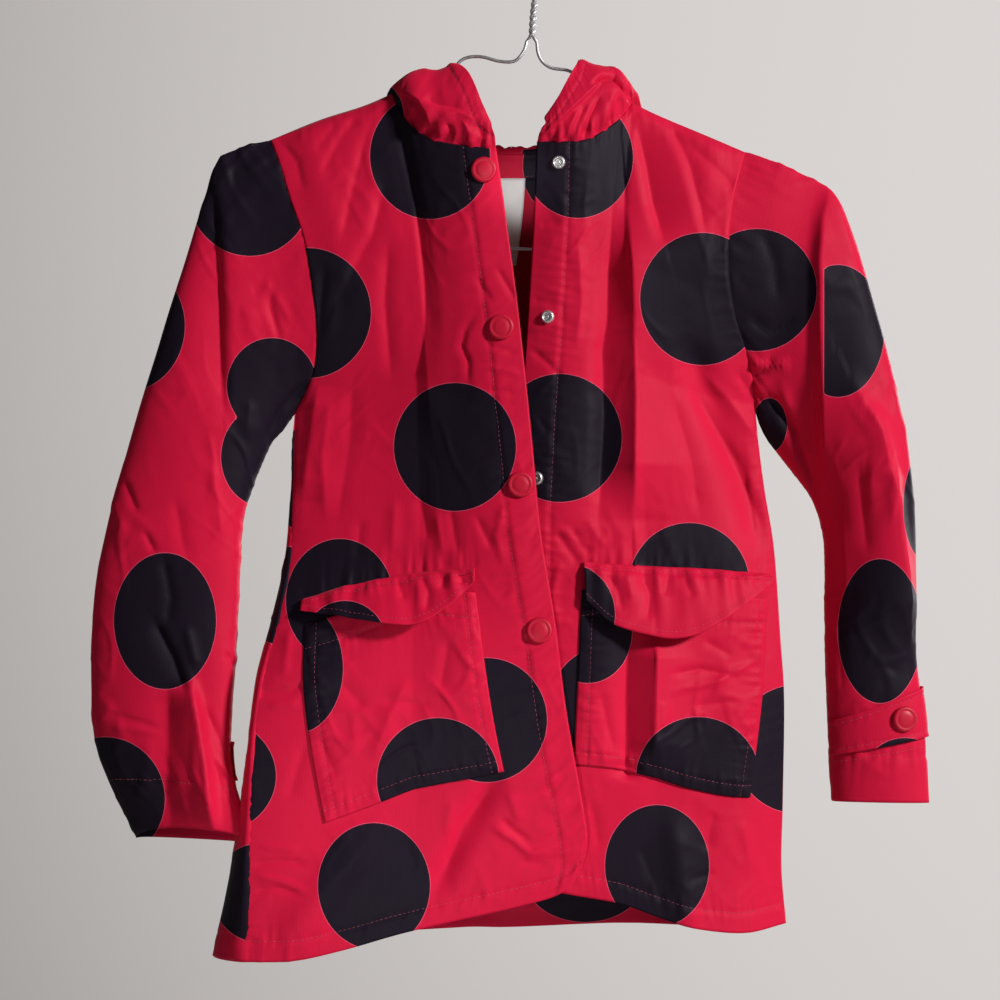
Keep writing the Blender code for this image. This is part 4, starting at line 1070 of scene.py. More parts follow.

# %% [markdown]
# ## Cutting a sheet
# Every cloth piece is made the same way: a grid is laid on its surface, its points are moved a
# little along their normals by the piece's own relief, each is told how far the nearest spot is,
# and Solidify gives the sheet its thickness, with the duller cloth, painted darker as shade, on its
# inner side.

# %% Sheet maker
THIN = 0.5
Sheet = namedtuple("Sheet", "made surface tree area wide high")
SHEETS = {}


def lengths(surface, steps=16):
    """Two functions: the width of a piece in mm at height t, and its height at place s."""

    def run(walk):
        points = [walk(i / steps) for i in range(steps + 1)]
        return sum((b - a).length for a, b in zip(points, points[1:]))

    wide = [run(lambda s, t=i / steps: surface(s, t)) for i in range(steps + 1)]
    high = [run(lambda t, s=i / steps: surface(s, t)) for i in range(steps + 1)]

    def read(values):
        def at(share):
            i = min(int(share * steps), steps - 1)
            return values[i] + (values[i + 1] - values[i]) * (share * steps - i)

        return at

    return read(wide), read(high)


def cut_sheet(
    name, surface, columns, rows, relief, out=(0, -1, 0), closed=False, finishes=None, push=None
):
    """One sheet of cloth on a surface in mm, with UVs in metres and its distance to the spots."""
    bm = bmesh.new()
    bmesh.ops.create_grid(bm, x_segments=columns, y_segments=rows, size=0.5)
    across, along = (bm.verts.layers.float.new(n) for n in ("across", "along"))
    uv = bm.loops.layers.uv.new("UVMap")
    wide, high = lengths(surface)
    cut_width, cut_height = wide(0.4) * MM, high(0.5) * MM
    for v in bm.verts:
        v[across], v[along] = v.co.x + 0.5, v.co.y + 0.5
    for face in bm.faces:
        for loop in face.loops:
            corner = loop.vert
            loop[uv].uv = (corner[across] * cut_width, corner[along] * cut_height)
    for v in bm.verts:
        v.co = surface(v[across], v[along])
    if closed:
        bmesh.ops.remove_doubles(bm, verts=bm.verts, dist=1e-3)
        bmesh.ops.recalc_face_normals(bm, faces=bm.faces)
    bm.normal_update()
    # a tube's front half is the half nearer the viewer, so its faces there look towards -Y
    facing = [f for f in bm.faces if not closed or 0.1 < f.verts[0][across] < 0.4]
    if sum(f.normal.dot(Vector(out)) for f in facing) < 0:
        bmesh.ops.reverse_faces(bm, faces=bm.faces)
        bm.normal_update()
    lifts = [relief(v[across], v[along], v.co, v.normal, wide, high) for v in bm.verts]
    for v, lift in zip(bm.verts, lifts):
        v.co += (push or v.normal) * lift
    edge = bm.verts.layers.float.new("spot_edge")
    for v in bm.verts:
        v[edge] = spot_edge(name, v.co)
    bmesh.ops.scale(bm, verts=bm.verts, vec=(MM, MM, MM))
    for layer in ("across", "along"):
        bm.verts.layers.float.remove(bm.verts.layers.float[layer])
    bm.normal_update()
    tree = BVHTree.FromBMesh(bm)
    area = sum(f.calc_area() for f in bm.faces)
    # the inner side gets the copy of the nylon whose colour is painted darker as shade
    outer, inner = finishes or (NYLON, SHADED_REVERSE)
    made = new_mesh(name + "_cloth", bm, outer)
    made.data.materials.append(inner)
    wall = made.modifiers.new("thickness", "SOLIDIFY")
    wall.thickness = THIN * MM
    wall.offset = 0.0
    wall.material_offset = 1
    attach(made, "root")
    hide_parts(name)
    SHEETS[name] = Sheet(made, surface, tree, area, cut_width, cut_height)
    print(f"{name}: {len(made.data.polygons)} faces, {area:.4f} square metres")


# %% [markdown]
# ## The two fronts
# A placket is the front edge folded back twice and stitched, so the cloth is thicker for 20 mm,
# with a groove at the stitching. The hem is the same, 13 mm wide. Seams sink and pucker.

# %% Fronts
PLACKET, HEM = 21.0, 13.0
SMOOTHED = 0.94  # how much of the relief a pocket presses flat
FLAP_SEAMS = {
    # where the camera sees each flap's seam
    "front_r": ((300, 600), (340, 588), (380, 580), (400, 575), (447, 568), (477, 568)),
    "front_l": ((584, 564), (640, 567), (700, 573), (770, 576)),
}


def above_flap(piece, x, y):
    """Puckers just above the seam of a flap, where gathered cloth is let in."""
    line = FLAP_SEAMS[piece]
    for (x0, y0), (x1, y1) in zip(line, line[1:]):
        if x0 <= x <= x1:
            off = y0 + (y1 - y0) * (x - x0) / (x1 - x0) - y
            if off > -4:
                pull = abs(noise.noise(Vector((x / 8.0, off / 70, 31.4)))) * 3.2 - 0.9
                return pull * math.exp(-abs(off) / 14) * ease((off + 4) / 8)
    return 0.0


def under_pocket(corners, p):
    """1 where a pocket lies on the panel, fading to 0 over a few mm outside it."""
    inner = 1e9
    for (x0, z0), (x1, z1) in zip(corners, corners[1:] + corners[:1]):
        length = math.hypot(x1 - x0, z1 - z0)
        inner = min(inner, ((p.x - x0) * (z1 - z0) - (p.z - z0) * (x1 - x0)) / length)
    return ease((inner + 5) / 5)


def front_relief(piece, pocket, corners, seed):
    def at(s, t, p, n, wide, high):
        u, v = s * wide(t), t * high(s)
        side, top = (1 - s) * wide(t), (1 - t) * high(s)
        x, y = in_view(p)
        lift = crinkle(p, seed, 0.75) * min(u / 8, 1)
        lift += creases(piece, x, y) + above_flap(piece, x, y)
        lift += 0.5 * step(PLACKET - u) + 0.4 * step(HEM - v)
        lift += seam(u - PLACKET, v, seed, 0.6, 0.9, 9) + seam(v - HEM, u, seed + 1, 0.6, 0.8)
        lift += seam(side, v, seed + 2, 0.0, 0.4, 9) + seam(top, u, seed + 3, 0.0, 0.9)
        ribs = abs(noise.noise(Vector((u / 40, v / 8, seed + 0.4)))) * 1.5
        lift += ribs * step(PLACKET - u) * ease((330 - v) / 90)
        under = under_pocket(corners, p)
        lift = lift * (1 - SMOOTHED * under) + under * min(creases(pocket, x, y), 0.0)
        return lift * ease(min(side, top) / 3) - 0.3 * math.exp(-((side / 1.3) ** 2))

    return at


# the tall folds of the chest are pushed straight out, so that their sides never cross
FORWARD = Vector((0, -1, 0))
relief_r = front_relief("front_r", "pocket_r", POCKET_R[::-1], 1)
relief_l = front_relief("front_l", "pocket_l", POCKET_L, 21)
cut_sheet("front_r", front_r, 116, 300, relief_r, push=FORWARD)
cut_sheet("front_l", front_l, 116, 300, relief_l, push=FORWARD)

# %% [markdown]
# ## Back, sleeves and hood
# The back is the largest piece and the calmest. The sleeves crease at the elbow and near the
# cuff, and the creases of the far side are like those in front but lie elsewhere. The hood's
# neckline is longer than the coat's, so it is gathered into the seam.

# %% Back


def back_relief(s, t, p, n, wide, high):
    u, v = s * wide(t), t * high(s)
    lift = crinkle(p, 41, 0.8) + 0.4 * step(HEM - v) + creases("back", *in_view(p))
    lift += seam(v - HEM, u, 43, 0.6, 0.8)
    for off, along in ((u, v), (wide(t) - u, v), (high(s) - v, u)):
        lift += seam(off, along, 44, 0.0, 0.4, 9)
    return lift * ease(min(u, wide(t) - u, high(s) - v) / 3)


cut_sheet("back", lambda s, t: back(s**BACK_POWER, t), 130, 230, back_relief, out=(0, 1, 0))

# %% Sleeves
CUFF_HEM = 24.0
SHIFT_X, SHIFT_Y = 14, 32  # how far behind a sleeve its creases lie from those in front


def sleeve_relief(piece, seed):
    def at(s, t, p, n, wide, high):
        v = t * high(s)
        x, y = in_view(p)
        front, behind = max(0.0, -n.y), max(0.0, n.y)
        lift = crinkle(p, seed, 1.1)
        lift += creases(piece, x, y) * front
        lift += 0.8 * creases(piece, x + SHIFT_X, y + SHIFT_Y) * behind
        cuff = high(s) - v
        u = s * wide(t)
        lift += 0.4 * step(CUFF_HEM - cuff) + seam(cuff - CUFF_HEM, u, seed + 1, 0.5, 0.6)
        lift += seam(v, u, seed + 2, 0.0, 1.5, 12)
        lift += seam(abs(s - 0.5) * wide(t), v, seed + 3, 0.5, 0.25)
        return lift * ease(v / 4) - 0.2 * math.exp(-((v / 1.6) ** 2))

    return at


cut_sheet("sleeve_r", sleeve_r, 150, 230, sleeve_relief("sleeve_r", 61), closed=True)
cut_sheet("sleeve_l", sleeve_l, 150, 230, sleeve_relief("sleeve_l", 71), closed=True)

# %% Hood
RIM = 11.0


def hood_relief(piece, seed):
    def at(s, t, p, n, wide, high):
        u, v = s * wide(0.3), t * high(s)
        rim = high(s) - v
        folds = noise.noise(Vector((u / 6, v / 40, seed * SEED_STEP)))
        gather = 2.2 * folds * math.exp(-((v / 11) ** 2)) * min(v / 3, 1)
        lift = gather + crinkle(p, seed + 1, 0.6) + creases(piece, *in_view(p))
        lift += 0.4 * step(RIM - rim) + seam(rim - RIM, u, seed + 2, 0.25, 0.4)
        lift += seam((1 - s) * wide(t), v, seed + 3, 0.8, 0.8)
        return lift * min((1 - s) * 40 + 0.2, 1)

    return at


cut_sheet("hood_r", hood_r, 150, 116, hood_relief("hood_r", 81), out=(-0.3, -0.6, 0.6))
cut_sheet("hood_l", hood_l, 150, 116, hood_relief("hood_l", 91), out=(0.3, -0.6, 0.6))

# %% [markdown]
# ## Pieces sewn on a panel
# A pocket, flap, tab or facing follows whatever it is sewn to. So each is made from the panel's
# own points, found by where the camera would see them and moved out along the normal: low at
# the sewn edges, higher in the middle where the cloth stands free.

# %% Helpers for pieces on a panel
FIND_STEPS = 14
PANEL_EDGES = 0.001, 0.998  # shares between which a piece can be placed
BROAD = 0.03  # share of a panel over which its slope is taken, so that small folds don't tilt it


def normal_at(surface, s, t, nudge=1e-3):
    """The surface's normal on its -Y side."""
    a = surface(min(s + nudge, 1), t) - surface(max(s - nudge, 0), t)
    b = surface(s, min(t + nudge, 1)) - surface(s, max(t - nudge, 0))
    n = a.cross(b).normalized()
    return n if n.y < 0 else -n


def find(surface, x, z, s=0.5, t=0.5, nudge=1e-4):
    """The (s, t) of a panel at one place as seen from the front."""
    low, high = PANEL_EDGES
    for _ in range(FIND_STEPS):
        p = surface(s, t)
        ds = (surface(s + nudge, t) - p) / nudge
        dt = (surface(s, t + nudge) - p) / nudge
        off_x, off_z = x - p.x, z - p.z
        area = ds.x * dt.z - ds.z * dt.x
        s = min(max(s + (off_x * dt.z - off_z * dt.x) / area, low), high)
        t = min(max(t + (ds.x * off_z - ds.z * off_x) / area, low), high)
    return s, t


def laid_on(panel, corners, out):
    """A surface on a panel between four corners, moved out by out(a, b)."""
    (s0, t0), (s1, t1), (s2, t2), (s3, t3) = (find(panel, x, z) for x, z in corners)

    def at(a, b):
        s = (s0 + (s1 - s0) * a) * b + (s3 + (s2 - s3) * a) * (1 - b)
        t = (t0 + (t1 - t0) * a) * b + (t3 + (t2 - t3) * a) * (1 - b)
        return panel(s, t) + normal_at(panel, s, t, BROAD) * out(a, b)

    return at


def hung_between(panel, top, low, out):
    """A surface whose upper and lower edges are (x, z) tables on a panel, moved out by out."""
    upper = smooth_line([(x, 0, z) for x, z in top])
    lower = smooth_line([(x, 0, z) for x, z in low])

    def at(a, b):
        goal = upper(a).lerp(lower(a), 1 - b)
        s, t = find(panel, goal.x, goal.z)
        return panel(s, t) + normal_at(panel, s, t, BROAD) * out(a, b)

    return at


# %% [markdown]
# ## Patch pockets and flaps
# Three sides of a pocket are turned in and topstitched, the mouth is hemmed. A flap is sewn along
# its top only, gathered a little, and stands away from the mouth below.

# %% Pockets and flaps
POCKET_EDGE, POCKET_HEM = 7.5, 16.0
POCKET_WIDTH, POCKET_HEIGHT = 110, 115  # mm, near enough to say how far off a seam lies
RISES_OVER = 9  # mm from its sewn edges over which a pocket comes off the front
FLAP_TOP_SEAM, FLAP_FREE_SEAM = 4, 4.5  # mm of its stitches from its top and from its free edge


def pocket_out(a, b):
    from_seam = min(min(a, 1 - a) * POCKET_WIDTH, b * POCKET_HEIGHT)
    gape = POCKET_GAPE * b**3 * math.sin(math.pi * a)
    return POCKET_LIFT + POCKET_RISE * ease(from_seam / RISES_OVER) + gape


def pocket_relief(piece, seed):
    def at(s, t, p, n, wide, high):
        u, v = s * wide(t), t * high(s)
        other, mouth = wide(t) - u, high(s) - v
        lift = crinkle(p, seed, 1.2) + creases(piece, *in_view(p))
        lift += 0.35 * step(POCKET_HEM - mouth) + seam(mouth - POCKET_HEM, u, seed, 0.5, 0.8)
        for off, along in ((u, v), (other, v), (v, u)):
            sewn = off - POCKET_EDGE
            lift += 0.3 * step(-sewn) + seam(sewn, along, seed + 1, 0.5, 1.0, 5)
        return lift * ease(min(u, other, v + 2) / 4 + 0.15)

    return at


def flap_out(a, b):
    middle = math.sin(math.pi * min(max(a, 0.04), 0.96))
    return FLAP_LIFT + FLAP_OVER * ease((1 - b) * 5) + FLAP_STAND * middle * (1 - b)


def flap_relief(piece, seed):
    def at(s, t, p, n, wide, high):
        u, top = s * wide(0.9), (1 - t) * high(s)
        gather = noise.noise(Vector((u / 7.5, top / 45, seed * SEED_STEP))) * math.exp(-top / 20)
        lift = 3.2 * gather * ease(top / 4) + 0.7 * crinkle(p, seed + 1)
        lift += creases(piece, *in_view(p)) + 0.3 * step(FLAP_FREE_SEAM - t * high(s))
        return lift + seam(top - FLAP_TOP_SEAM, u, seed + 2, 0.6, 0.6)

    return at


POCKETS = {
    "pocket_r": laid_on(front_r, POCKET_R, pocket_out),
    "pocket_l": laid_on(front_l, POCKET_L, pocket_out),
}
FLAPS = {
    "flap_r": hung_between(front_r, FLAP_R_TOP, FLAP_R_LOW, flap_out),
    "flap_l": hung_between(front_l, FLAP_L_TOP, FLAP_L_LOW, flap_out),
}
for seed, (name, surface) in enumerate(POCKETS.items(), 101):
    cut_sheet(name, surface, 88, 96, pocket_relief(name, seed))
for seed, (name, surface) in enumerate(FLAPS.items(), 111):
    cut_sheet(name, surface, 100, 30, flap_relief(name, seed))

# %% [markdown]
# ## Neck band, label and cuff tabs
# A facing hides the raw edge inside the back neck, with the size label caught under it. The label
# is left blank. A tab goes round each cuff and is held by a snap.

# %% Neck band
BAND_SEAM = 2


def band_surface(a, b):
    first, last = BAND_COLUMNS
    low, high = BAND_ROWS
    s, t = (first + (last - first) * a) ** BACK_POWER, low + (high - low) * b
    return back(s, t) + normal_at(back, s, t) * BAND_LIFT


def band_relief(s, t, p, n, wide, high):
    u, top, low = s * wide(t), (1 - t) * high(s), t * high(s)
    return seam(low - BAND_SEAM, u, 131, 0.4, 0.5, 4) + seam(top - 3, u, 132, 0.4, 0.4, 4)


cut_sheet("neck_band", band_surface, 70, 12, band_relief, finishes=(NYLON, NYLON))

# %% Label


def tape(name):
    """White satin tape, with shiny threads across."""
    made, tree, shader = new_material(name, (0.93, 0.92, 0.90), 0.4)
    flat = node(tree, "TexCoord").outputs["UV"]
    threads = texture(tree, "Wave", flat, bands_direction="Y", Scale=320.0, Distortion=1.0)
    tree.links.new(bumped(tree, threads, 0.00004, 0.5), shader.inputs["Normal"])
    tree.links.new(ranged(tree, threads, 0.32, 0.5), shader.inputs["Roughness"])
    return made


def label_surface(a, b):
    width = LABEL_WIDTH * (1 - 0.25 * (1 - b) ** 2)
    x = LABEL_X + (a - 0.5) * width - LABEL_SWING * (1 - b)
    s, t = find(back, x, LABEL_TOP_Z - LABEL_DROP * (1 - b))
    return back(s, t) + normal_at(back, s, t) * (LABEL_LIFT + LABEL_SWING * (1 - b))


def label_relief(s, t, p, n, wide, high):
    bow = math.sin(math.pi * s) * (1 - t)
    return bow + 0.3 * noise.noise(Vector((p.x / 8, p.z / 14, 3)))


TAPE = tape("label_tape")
cut_sheet("label", label_surface, 16, 34, label_relief, finishes=(TAPE, TAPE))

# %% Cuff tabs
TAB_SEAM = 3.5


def tab_surface(sleeve, ends):
    """A band across a sleeve: a from one end to the other, b from its lower to its upper edge."""
    (first, last), (low, high) = ends, TAB_ROWS

    def at(a, b):
        s, t = first + (last - first) * a, high + (low - high) * b
        p = sleeve(s, t)
        around, down = sleeve(s + 0.005, t) - sleeve(s - 0.005, t), sleeve(s, t + 0.01) - p
        out = around.cross(down).normalized()
        if out.dot(p - sleeve(0, t).lerp(sleeve(0.5, t), 0.5)) < 0:
            out = -out
        return p + out * TAB_LIFT

    return at


def tab_relief(s, t, p, n, wide, high):
    sewn = min(t, 1 - t) * high(s) - TAB_SEAM
    return 0.3 * step(-sewn) + seam(sewn, s * wide(t), 141, 0.4, 0.5, 3)


TABS = {
    # surface, and the way its outside faces
    "tab_l": (tab_surface(sleeve_l, TAB_L_ROUND), (0, -1, 0)),
    "tab_r": (tab_surface(sleeve_r, TAB_R_ROUND), (0, 1, 0)),
}
for name, (surface, out) in TABS.items():
    cut_sheet(name, surface, 56, 18, tab_relief, out)

# %% [markdown]
# ## Topstitching
# Each seam that shows is sewn with red thread, about 3 mm to a stitch. A stitch is one small
# pointed grain of thread. It is laid on the finished sheet, at the nearest point of it, so that
# it follows every pucker, and all of them are one mesh.

# %% Thread
STITCH, STITCH_GAP, THREAD = 2.6, 0.4, 0.13


def thread_material():
    """Matt twisted thread, lighter and darker along its length."""
    made, tree, shader = new_material("red_thread", (0.40, 0.02, 0.06), 0.6)
    twist = texture(tree, "Noise", node(tree, "TexCoord").outputs["Object"], Scale=900.0)
    colour = mixed(tree, twist, (0.30, 0.040, 0.085, 1), (0.55, 0.120, 0.190, 1))
    tree.links.new(colour, shader.inputs["Base Color"])
    return made


def sew(bm, name, path, out=(0, -1, 0), steps=160):
    """Stitches along path(share) -> (s, t) on a sheet, on the side that out points to."""
    sheet, out = SHEETS[name], Vector(out)
    points = [sheet.surface(*path(i / steps)) for i in range(steps + 1)]
    reach = [0.0]
    for a, b in zip(points, points[1:]):
        reach.append(reach[-1] + (b - a).length)
    count = int(reach[-1] / (STITCH + STITCH_GAP))

    def at(goal):
        i = min(max(bisect_left(reach, goal), 1), steps)
        share = (goal - reach[i - 1]) / max(reach[i] - reach[i - 1], 1e-6)
        return points[i - 1].lerp(points[i], share)

    for k in range(count):
        middle = (k + 0.5) * reach[-1] / count
        p = at(middle)
        run = (at(middle + 1) - at(middle - 1)).normalized()
        spot, n, _, _ = sheet.tree.find_nearest(p * MM)
        n = n if n.dot(out) > 0 else -n
        side = run.cross(n).normalized()
        run = n.cross(side).normalized()
        turn = Matrix((run, side, n)).transposed().to_4x4()
        size = Matrix.Diagonal((STITCH / 2 * MM, THREAD * MM, THREAD * 0.8 * MM, 1))
        centre = Matrix.Translation(spot + n * (THIN / 2 + 0.05) * MM)
        bmesh.ops.create_icosphere(bm, subdivisions=1, radius=1, matrix=centre @ turn @ size)
    return count


print("a stitch is", STITCH, "mm long and", 2 * THREAD, "mm wide")

# %% Topstitching
def inside(name, off_s=None, off_t=None, back_way=False):
    """A path that keeps off_s mm from one side, or off_t mm from the bottom, of a sheet."""
    wide, high = lengths(SHEETS[name].surface)
    if off_s is not None:
        return lambda share: (abs(back_way - off_s / wide(share)), share)
    return lambda share: (share, abs(back_way - off_t / high(share)))


def round_cuff(name, half):
    """Half a turn round a sleeve at its cuff hem."""
    t = 1 - CUFF_HEM / lengths(SHEETS[name].surface)[1](0.25)
    return lambda share: (half / 2 + share / 2, t)


PLACKET_AND_HEM = ({"off_s": PLACKET}, {"off_t": HEM})
POCKET_SEAMS = (
    {"off_s": POCKET_EDGE},
    {"off_s": POCKET_EDGE, "back_way": True},
    {"off_t": POCKET_EDGE},
    {"off_t": POCKET_HEM, "back_way": True},
)
FLAP_STITCHES = ({"off_t": FLAP_TOP_SEAM, "back_way": True}, {"off_t": FLAP_FREE_SEAM})
TAB_STITCHES = ({"off_t": TAB_SEAM}, {"off_t": TAB_SEAM, "back_way": True})
RIM_STITCHES = ({"off_t": RIM, "back_way": True},)
TOPSTITCHED = {
    "front_r": PLACKET_AND_HEM,
    "front_l": PLACKET_AND_HEM,
    "back": ({"off_t": HEM},),
    "pocket_r": POCKET_SEAMS,
    "pocket_l": POCKET_SEAMS,
    "flap_r": FLAP_STITCHES,
    "flap_l": FLAP_STITCHES,
    "neck_band": ({"off_t": BAND_SEAM},),
    "tab_l": TAB_STITCHES,
    "tab_r": TAB_STITCHES,
    "hood_r": RIM_STITCHES,
    "hood_l": RIM_STITCHES,
}
FACING_BACK = ("back", "tab_r")
thread, total = bmesh.new(), 0
for name, paths in TOPSTITCHED.items():
    for path in paths:
        out = (0, 1, 0) if name in FACING_BACK else (0, -1, 0)
        total += sew(thread, name, inside(name, **path), out)
for name in ("sleeve_r", "sleeve_l"):
    total += sew(thread, name, round_cuff(name, 0))
    total += sew(thread, name, round_cuff(name, 1), out=(0, 1, 0))
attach(new_mesh("topstitching", thread, thread_material()), "root")
print(total, "stitches")

# %% [markdown]
# ## Snaps
# A snap is four pressed rings: a domed cap riveted through the outer front, with its socket
# behind, and a stud on the other front. Each is a profile turned round its own axis, so spin is
# the natural tool. The hard model gives their places, and the real ones replace its plain discs.

# %% Snap materials


def metal(name, colour, roughness, metallic, scratch, shine=0.5):
    """A hard finish with fine scuffs that change its roughness."""
    made, tree, shader = new_material(name, colour, roughness, metallic)
    shader.inputs["Specular IOR Level"].default_value = shine
    solid = node(tree, "TexCoord").outputs["Object"]
    scuffs = texture(tree, "Noise", solid, Scale=scratch, Detail=6.0)
    worn = ranged(tree, scuffs, roughness * 0.7, roughness * 1.5)
    tree.links.new(worn, shader.inputs["Roughness"])
    tree.links.new(bumped(tree, scuffs, 0.00003, 0.4), shader.inputs["Normal"])
    return made


ENAMEL = metal("red_enamel", (0.56, 0.006, 0.036), 0.4, 0.0, 260, shine=0.3)
BRIGHT = metal("bright_snap", (0.86, 0.85, 0.86), 0.38, 1.0, 500)
WIRE_STEEL = metal("hanger_wire", (0.66, 0.67, 0.70), 0.45, 1.0, 420)
print("metal finishes:", ENAMEL.name, BRIGHT.name, WIRE_STEEL.name)

# %% Snap profiles
SNAP_STEPS = 36
SNAP_OFF = THIN / 2 + 0.1  # mm from the middle of the cloth to the foot of a ring
# (radius, height) in mm: rolled edge, ring groove and low dome, closed behind.
CAP_TURN = (
    (0, 2.75), (2.5, 2.7), (4.6, 2.5), (5.3, 2.15), (5.9, 2.15), (6.6, 2.45), (7.5, 2.2),
    (8.1, 1.5), (8.3, 0.8), (8, 0.2), (7, 0), (0, 0),
)
SOCKET_TURN = (
    (1.5, 2), (1.9, 2.5), (3, 2.5), (3.6, 1.9), (3.8, 0.9), (5, 0.7), (5.6, 0.4), (5.6, 0),
    (0, 0), (0, 0.6), (1.5, 0.8),
)
STUD_TURN = (
    (0, 1.5), (0.7, 1.4), (1.1, 1), (1.2, 0.3), (2.4, 0.3), (2.5, 1.9), (3, 2.3), (3.6, 2.1),
    (4, 1.5), (4.4, 0.6), (4.4, 0), (0, 0),
)
print("a cap is", 2 * max(radius for radius, _ in CAP_TURN), "mm across")

# %% Snaps
def turned(profile, base, axis, closed=True):
    """A (radius, height) profile in mm, turned round an axis that starts at a place in mm."""
    bm = bmesh.new()
    verts = [bm.verts.new((radius, 0, height)) for radius, height in profile]
    for a, b in zip(verts, verts[1:] if closed else verts[1:] + verts[:1]):
        bm.edges.new((a, b))
    whole = [*bm.verts, *bm.edges]
    turn = {"axis": (0, 0, 1), "angle": 2 * math.pi, "steps": SNAP_STEPS, "use_merge": True}
    bmesh.ops.spin(bm, geom=whole, **turn)
    bmesh.ops.remove_doubles(bm, verts=bm.verts, dist=1e-4)
    bmesh.ops.recalc_face_normals(bm, faces=bm.faces)
    upright = axis.to_track_quat("Z", "Y").to_matrix().to_4x4()
    put = Matrix.Scale(MM, 4) @ Matrix.Translation(base) @ upright
    bmesh.ops.transform(bm, matrix=put, verts=bm.verts)
    return bm


def snap(node_name, profile, finish, spot, n):
    """A turned ring at a spot in mm on a sheet, in place of the hard model's plain disc."""
    piece = new_mesh(node_name + "_snap", turned(profile, spot + n * SNAP_OFF, n), finish)
    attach(piece, "root")
    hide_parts(node_name)


def place_on(sheet_name, x, z):
    """A place on a finished sheet as seen from the front, and the way the cloth faces there."""
    sheet = SHEETS[sheet_name]
    s, t = find(sheet.surface, x, z, 0.08)
    spot, n, _, _ = sheet.tree.find_nearest(sheet.surface(s, t) * MM)
    n = normal_at(sheet.surface, s, t) * 2 + (n if n.y < 0 else -n)
    return spot / MM, n.normalized()


for number, (x, z) in enumerate(CAPS_R, 1):
    spot, n = place_on("front_r", x, z)
    snap(f"cap_{number}", CAP_TURN, ENAMEL, spot, n)
    behind = turned(SOCKET_TURN, spot - n * SNAP_OFF, -n, closed=False)
    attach(new_mesh(f"cap_{number}_socket", behind, BRIGHT), "root")
for number, (x, z) in enumerate(STUDS_L, 1):
    snap(f"stud_{number}", STUD_TURN, BRIGHT, *place_on("front_l", x, z))


def tab_cap(side, a):
    """The cap of a cuff tab, at a share of the way along it."""
    surface, out = TABS["tab_" + side]
    spot, n, _, _ = SHEETS["tab_" + side].tree.find_nearest(surface(a, 0.5) * MM)
    snap("cuff_cap_" + side, CAP_TURN, ENAMEL, spot / MM, n if n.dot(Vector(out)) > 0 else -n)


tab_l, shares = TABS["tab_l"][0], [i / 200 for i in range(201)]
tab_cap("l", min(shares, key=lambda a: abs(tab_l(a, 0.5).x - CUFF_CAP_L_X)))
first, last = TAB_R_ROUND
tab_cap("r", (CUFF_CAP_R_ROUND - first) / (last - first))
print("snaps:", len(CAPS_R) + 2, "caps and", len(STUDS_L), "studs")

# %% [markdown]
# ## Wire hanger
# One length of wire makes a hanger: it starts at the hook, winds down the neck, runs along one
# arm, round the tip and back along the bar, round the other tip, up the other arm and winds round
# the neck to end there. So one path with a round section is the honest way to make it.

# %% Hanger lines
WIRE = 2.2
HOOK_RADIUS = 20.1  # to the middle of the wire
HOOK_ANGLES = (-62, 205)  # degrees from +X where the round of the hook starts and ends
TWIST_START = (-6, 0, -80)
NECK_LINE = ((-6, 0, -84), (-5.2, 0, -70), (-3.5, 0, -56), (-2, 0, -46))
HOOK_STEM = ((-3, 0, -52), (-1.5, 0, -46.5), (2, 0, -42))
# Each arm from the twist to its tip, and the bent tips, then the lower bar between them.
ARM_R = (
    TWIST_START, (-9, 1, -86), (-11, 2, -93), (-17, 3, -100), (-27, 2, -100), (-38, 1, -97),
    (-47, 0, -97), (-53, 0, -100), (-58, 0, -107), (-66, 0, -114), (-82, 0, -121), (-102, 0, -129),
    (-140, 0, -143), (-176, 0, -157), (-194, 0, -165), (-201, 0, -169), (-205, 0, -174),
    (-203, 0, -179), (-196, 0, -182),
)
ARM_L = (
    TWIST_START, (-3, 0, -86), (-2, 0, -94), (1, 0, -100), (7, 0, -104), (17, 0, -105.5),
    (24, 0, -109), (32, 0, -115), (45, 0, -124), (60, 0, -133), (100, 0, -151.5), (133, 0, -165.5),
    (158, 0, -176), (172, 0, -182), (180, 0, -186), (183.5, 0, -191), (181, 0, -196),
    (174, 0, -199),
)
BAR = ((-150, 1, -197), (-90, 2, -212), (-12, 3, -222), (70, 2, -218), (130, 1, -208))
print("arm tips at x:", min(x for x, _, _ in ARM_R), max(x for x, _, _ in ARM_L), "mm")

# %% Hanger wire
def helix(turns, start_angle, steps=60):
    """One of the two wires wound round each other in the neck, from its foot to its top."""
    neck = smooth_line(NECK_LINE)
    points = []
    for i in range(steps + 1):
        share = i / steps
        angle = start_angle + 2 * math.pi * turns * share
        wind = Vector((math.cos(angle), math.sin(angle), 0)) * (WIRE / 2 + 0.05)
        points.append(neck(share) + wind)
    return points


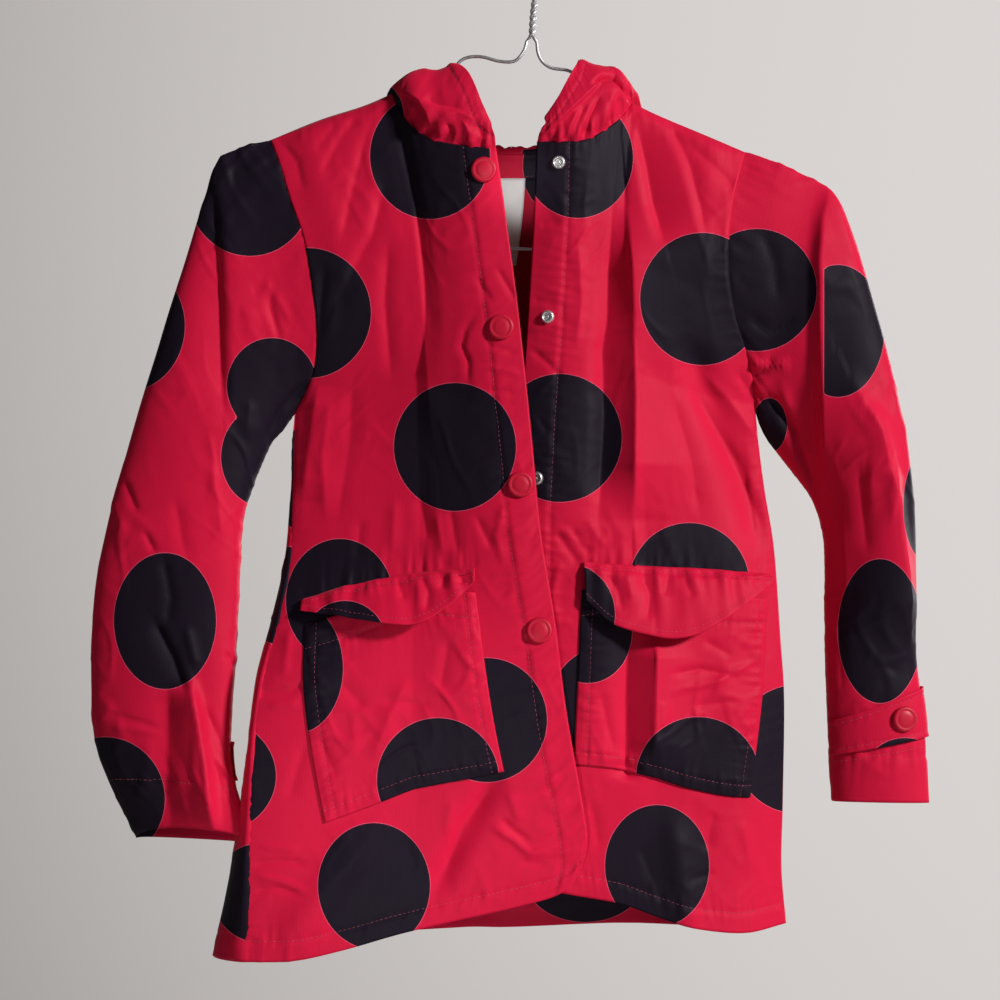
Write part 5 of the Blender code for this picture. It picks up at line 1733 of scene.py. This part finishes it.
ARM_STEPS, BAR_STEPS, HOOK_STEPS, NECK_TURNS = 90, 60, 40, 4.5
WOUND = 3  # steps of an arm that are still in the twist
right, left = smooth_line(ARM_R), smooth_line(ARM_L)
bar = smooth_line((ARM_R[-1], *BAR, ARM_L[-1]))
first_wire, second_wire = helix(NECK_TURNS, math.pi), helix(NECK_TURNS, 0)
hook = [place(*row) for row in HOOK_STEM]
first, last = (math.radians(angle) for angle in HOOK_ANGLES)
for i in range(HOOK_STEPS + 1):
    angle = first + (last - first) * i / HOOK_STEPS
    x, z = HOOK_RADIUS * math.cos(angle), HOOK_RADIUS * math.sin(angle)
    hook.append(place(x, 0, WIRE / 2 - HOOK_RADIUS + z))
path = hook[::-1][:-1]
path += first_wire[::-1]
path += [right(i / ARM_STEPS) for i in range(WOUND, ARM_STEPS)]
path += [bar(i / BAR_STEPS) for i in range(BAR_STEPS + 1)]
path += [left(1 - i / ARM_STEPS) for i in range(1, ARM_STEPS - WOUND + 1)]
path += second_wire
wire = bpy.data.curves.new("wire", "CURVE")
wire.dimensions = "3D"
wire.bevel_depth = WIRE / 2 * MM
wire.bevel_resolution = 3
wire.use_fill_caps = True
spline = wire.splines.new("POLY")
spline.points.add(len(path) - 1)
for point, p in zip(spline.points, path):
    point.co = (*(p * MM), 1)
guide = bpy.data.objects.new("wire_guide", wire)
bpy.context.scene.collection.objects.link(guide)
solid = bpy.data.meshes.new_from_object(guide.evaluated_get(bpy.context.evaluated_depsgraph_get()))
bpy.data.objects.remove(guide)
bm = bmesh.new()
bm.from_mesh(solid)
bmesh.ops.remove_doubles(bm, verts=bm.verts, dist=1e-6)
bmesh.ops.recalc_face_normals(bm, faces=bm.faces)
hanger = new_mesh("wire_hanger", bm, WIRE_STEEL)
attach(hanger, "root")
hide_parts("hanger")
print("hanger wire:", round(sum((b - a).length for a, b in zip(path, path[1:]))), "mm long")

# %% [markdown]
# ## Where each small piece rests
# Each pocket, flap, tab, the neck band and the label is listed with the sheet that it is sewn on.

# %% Sheets
RESTS = {"pocket_r": "front_r", "pocket_l": "front_l", "flap_r": "front_r", "flap_l": "front_l"}
RESTS |= {"tab_r": "sleeve_r", "tab_l": "sleeve_l", "neck_band": "back", "label": "back"}
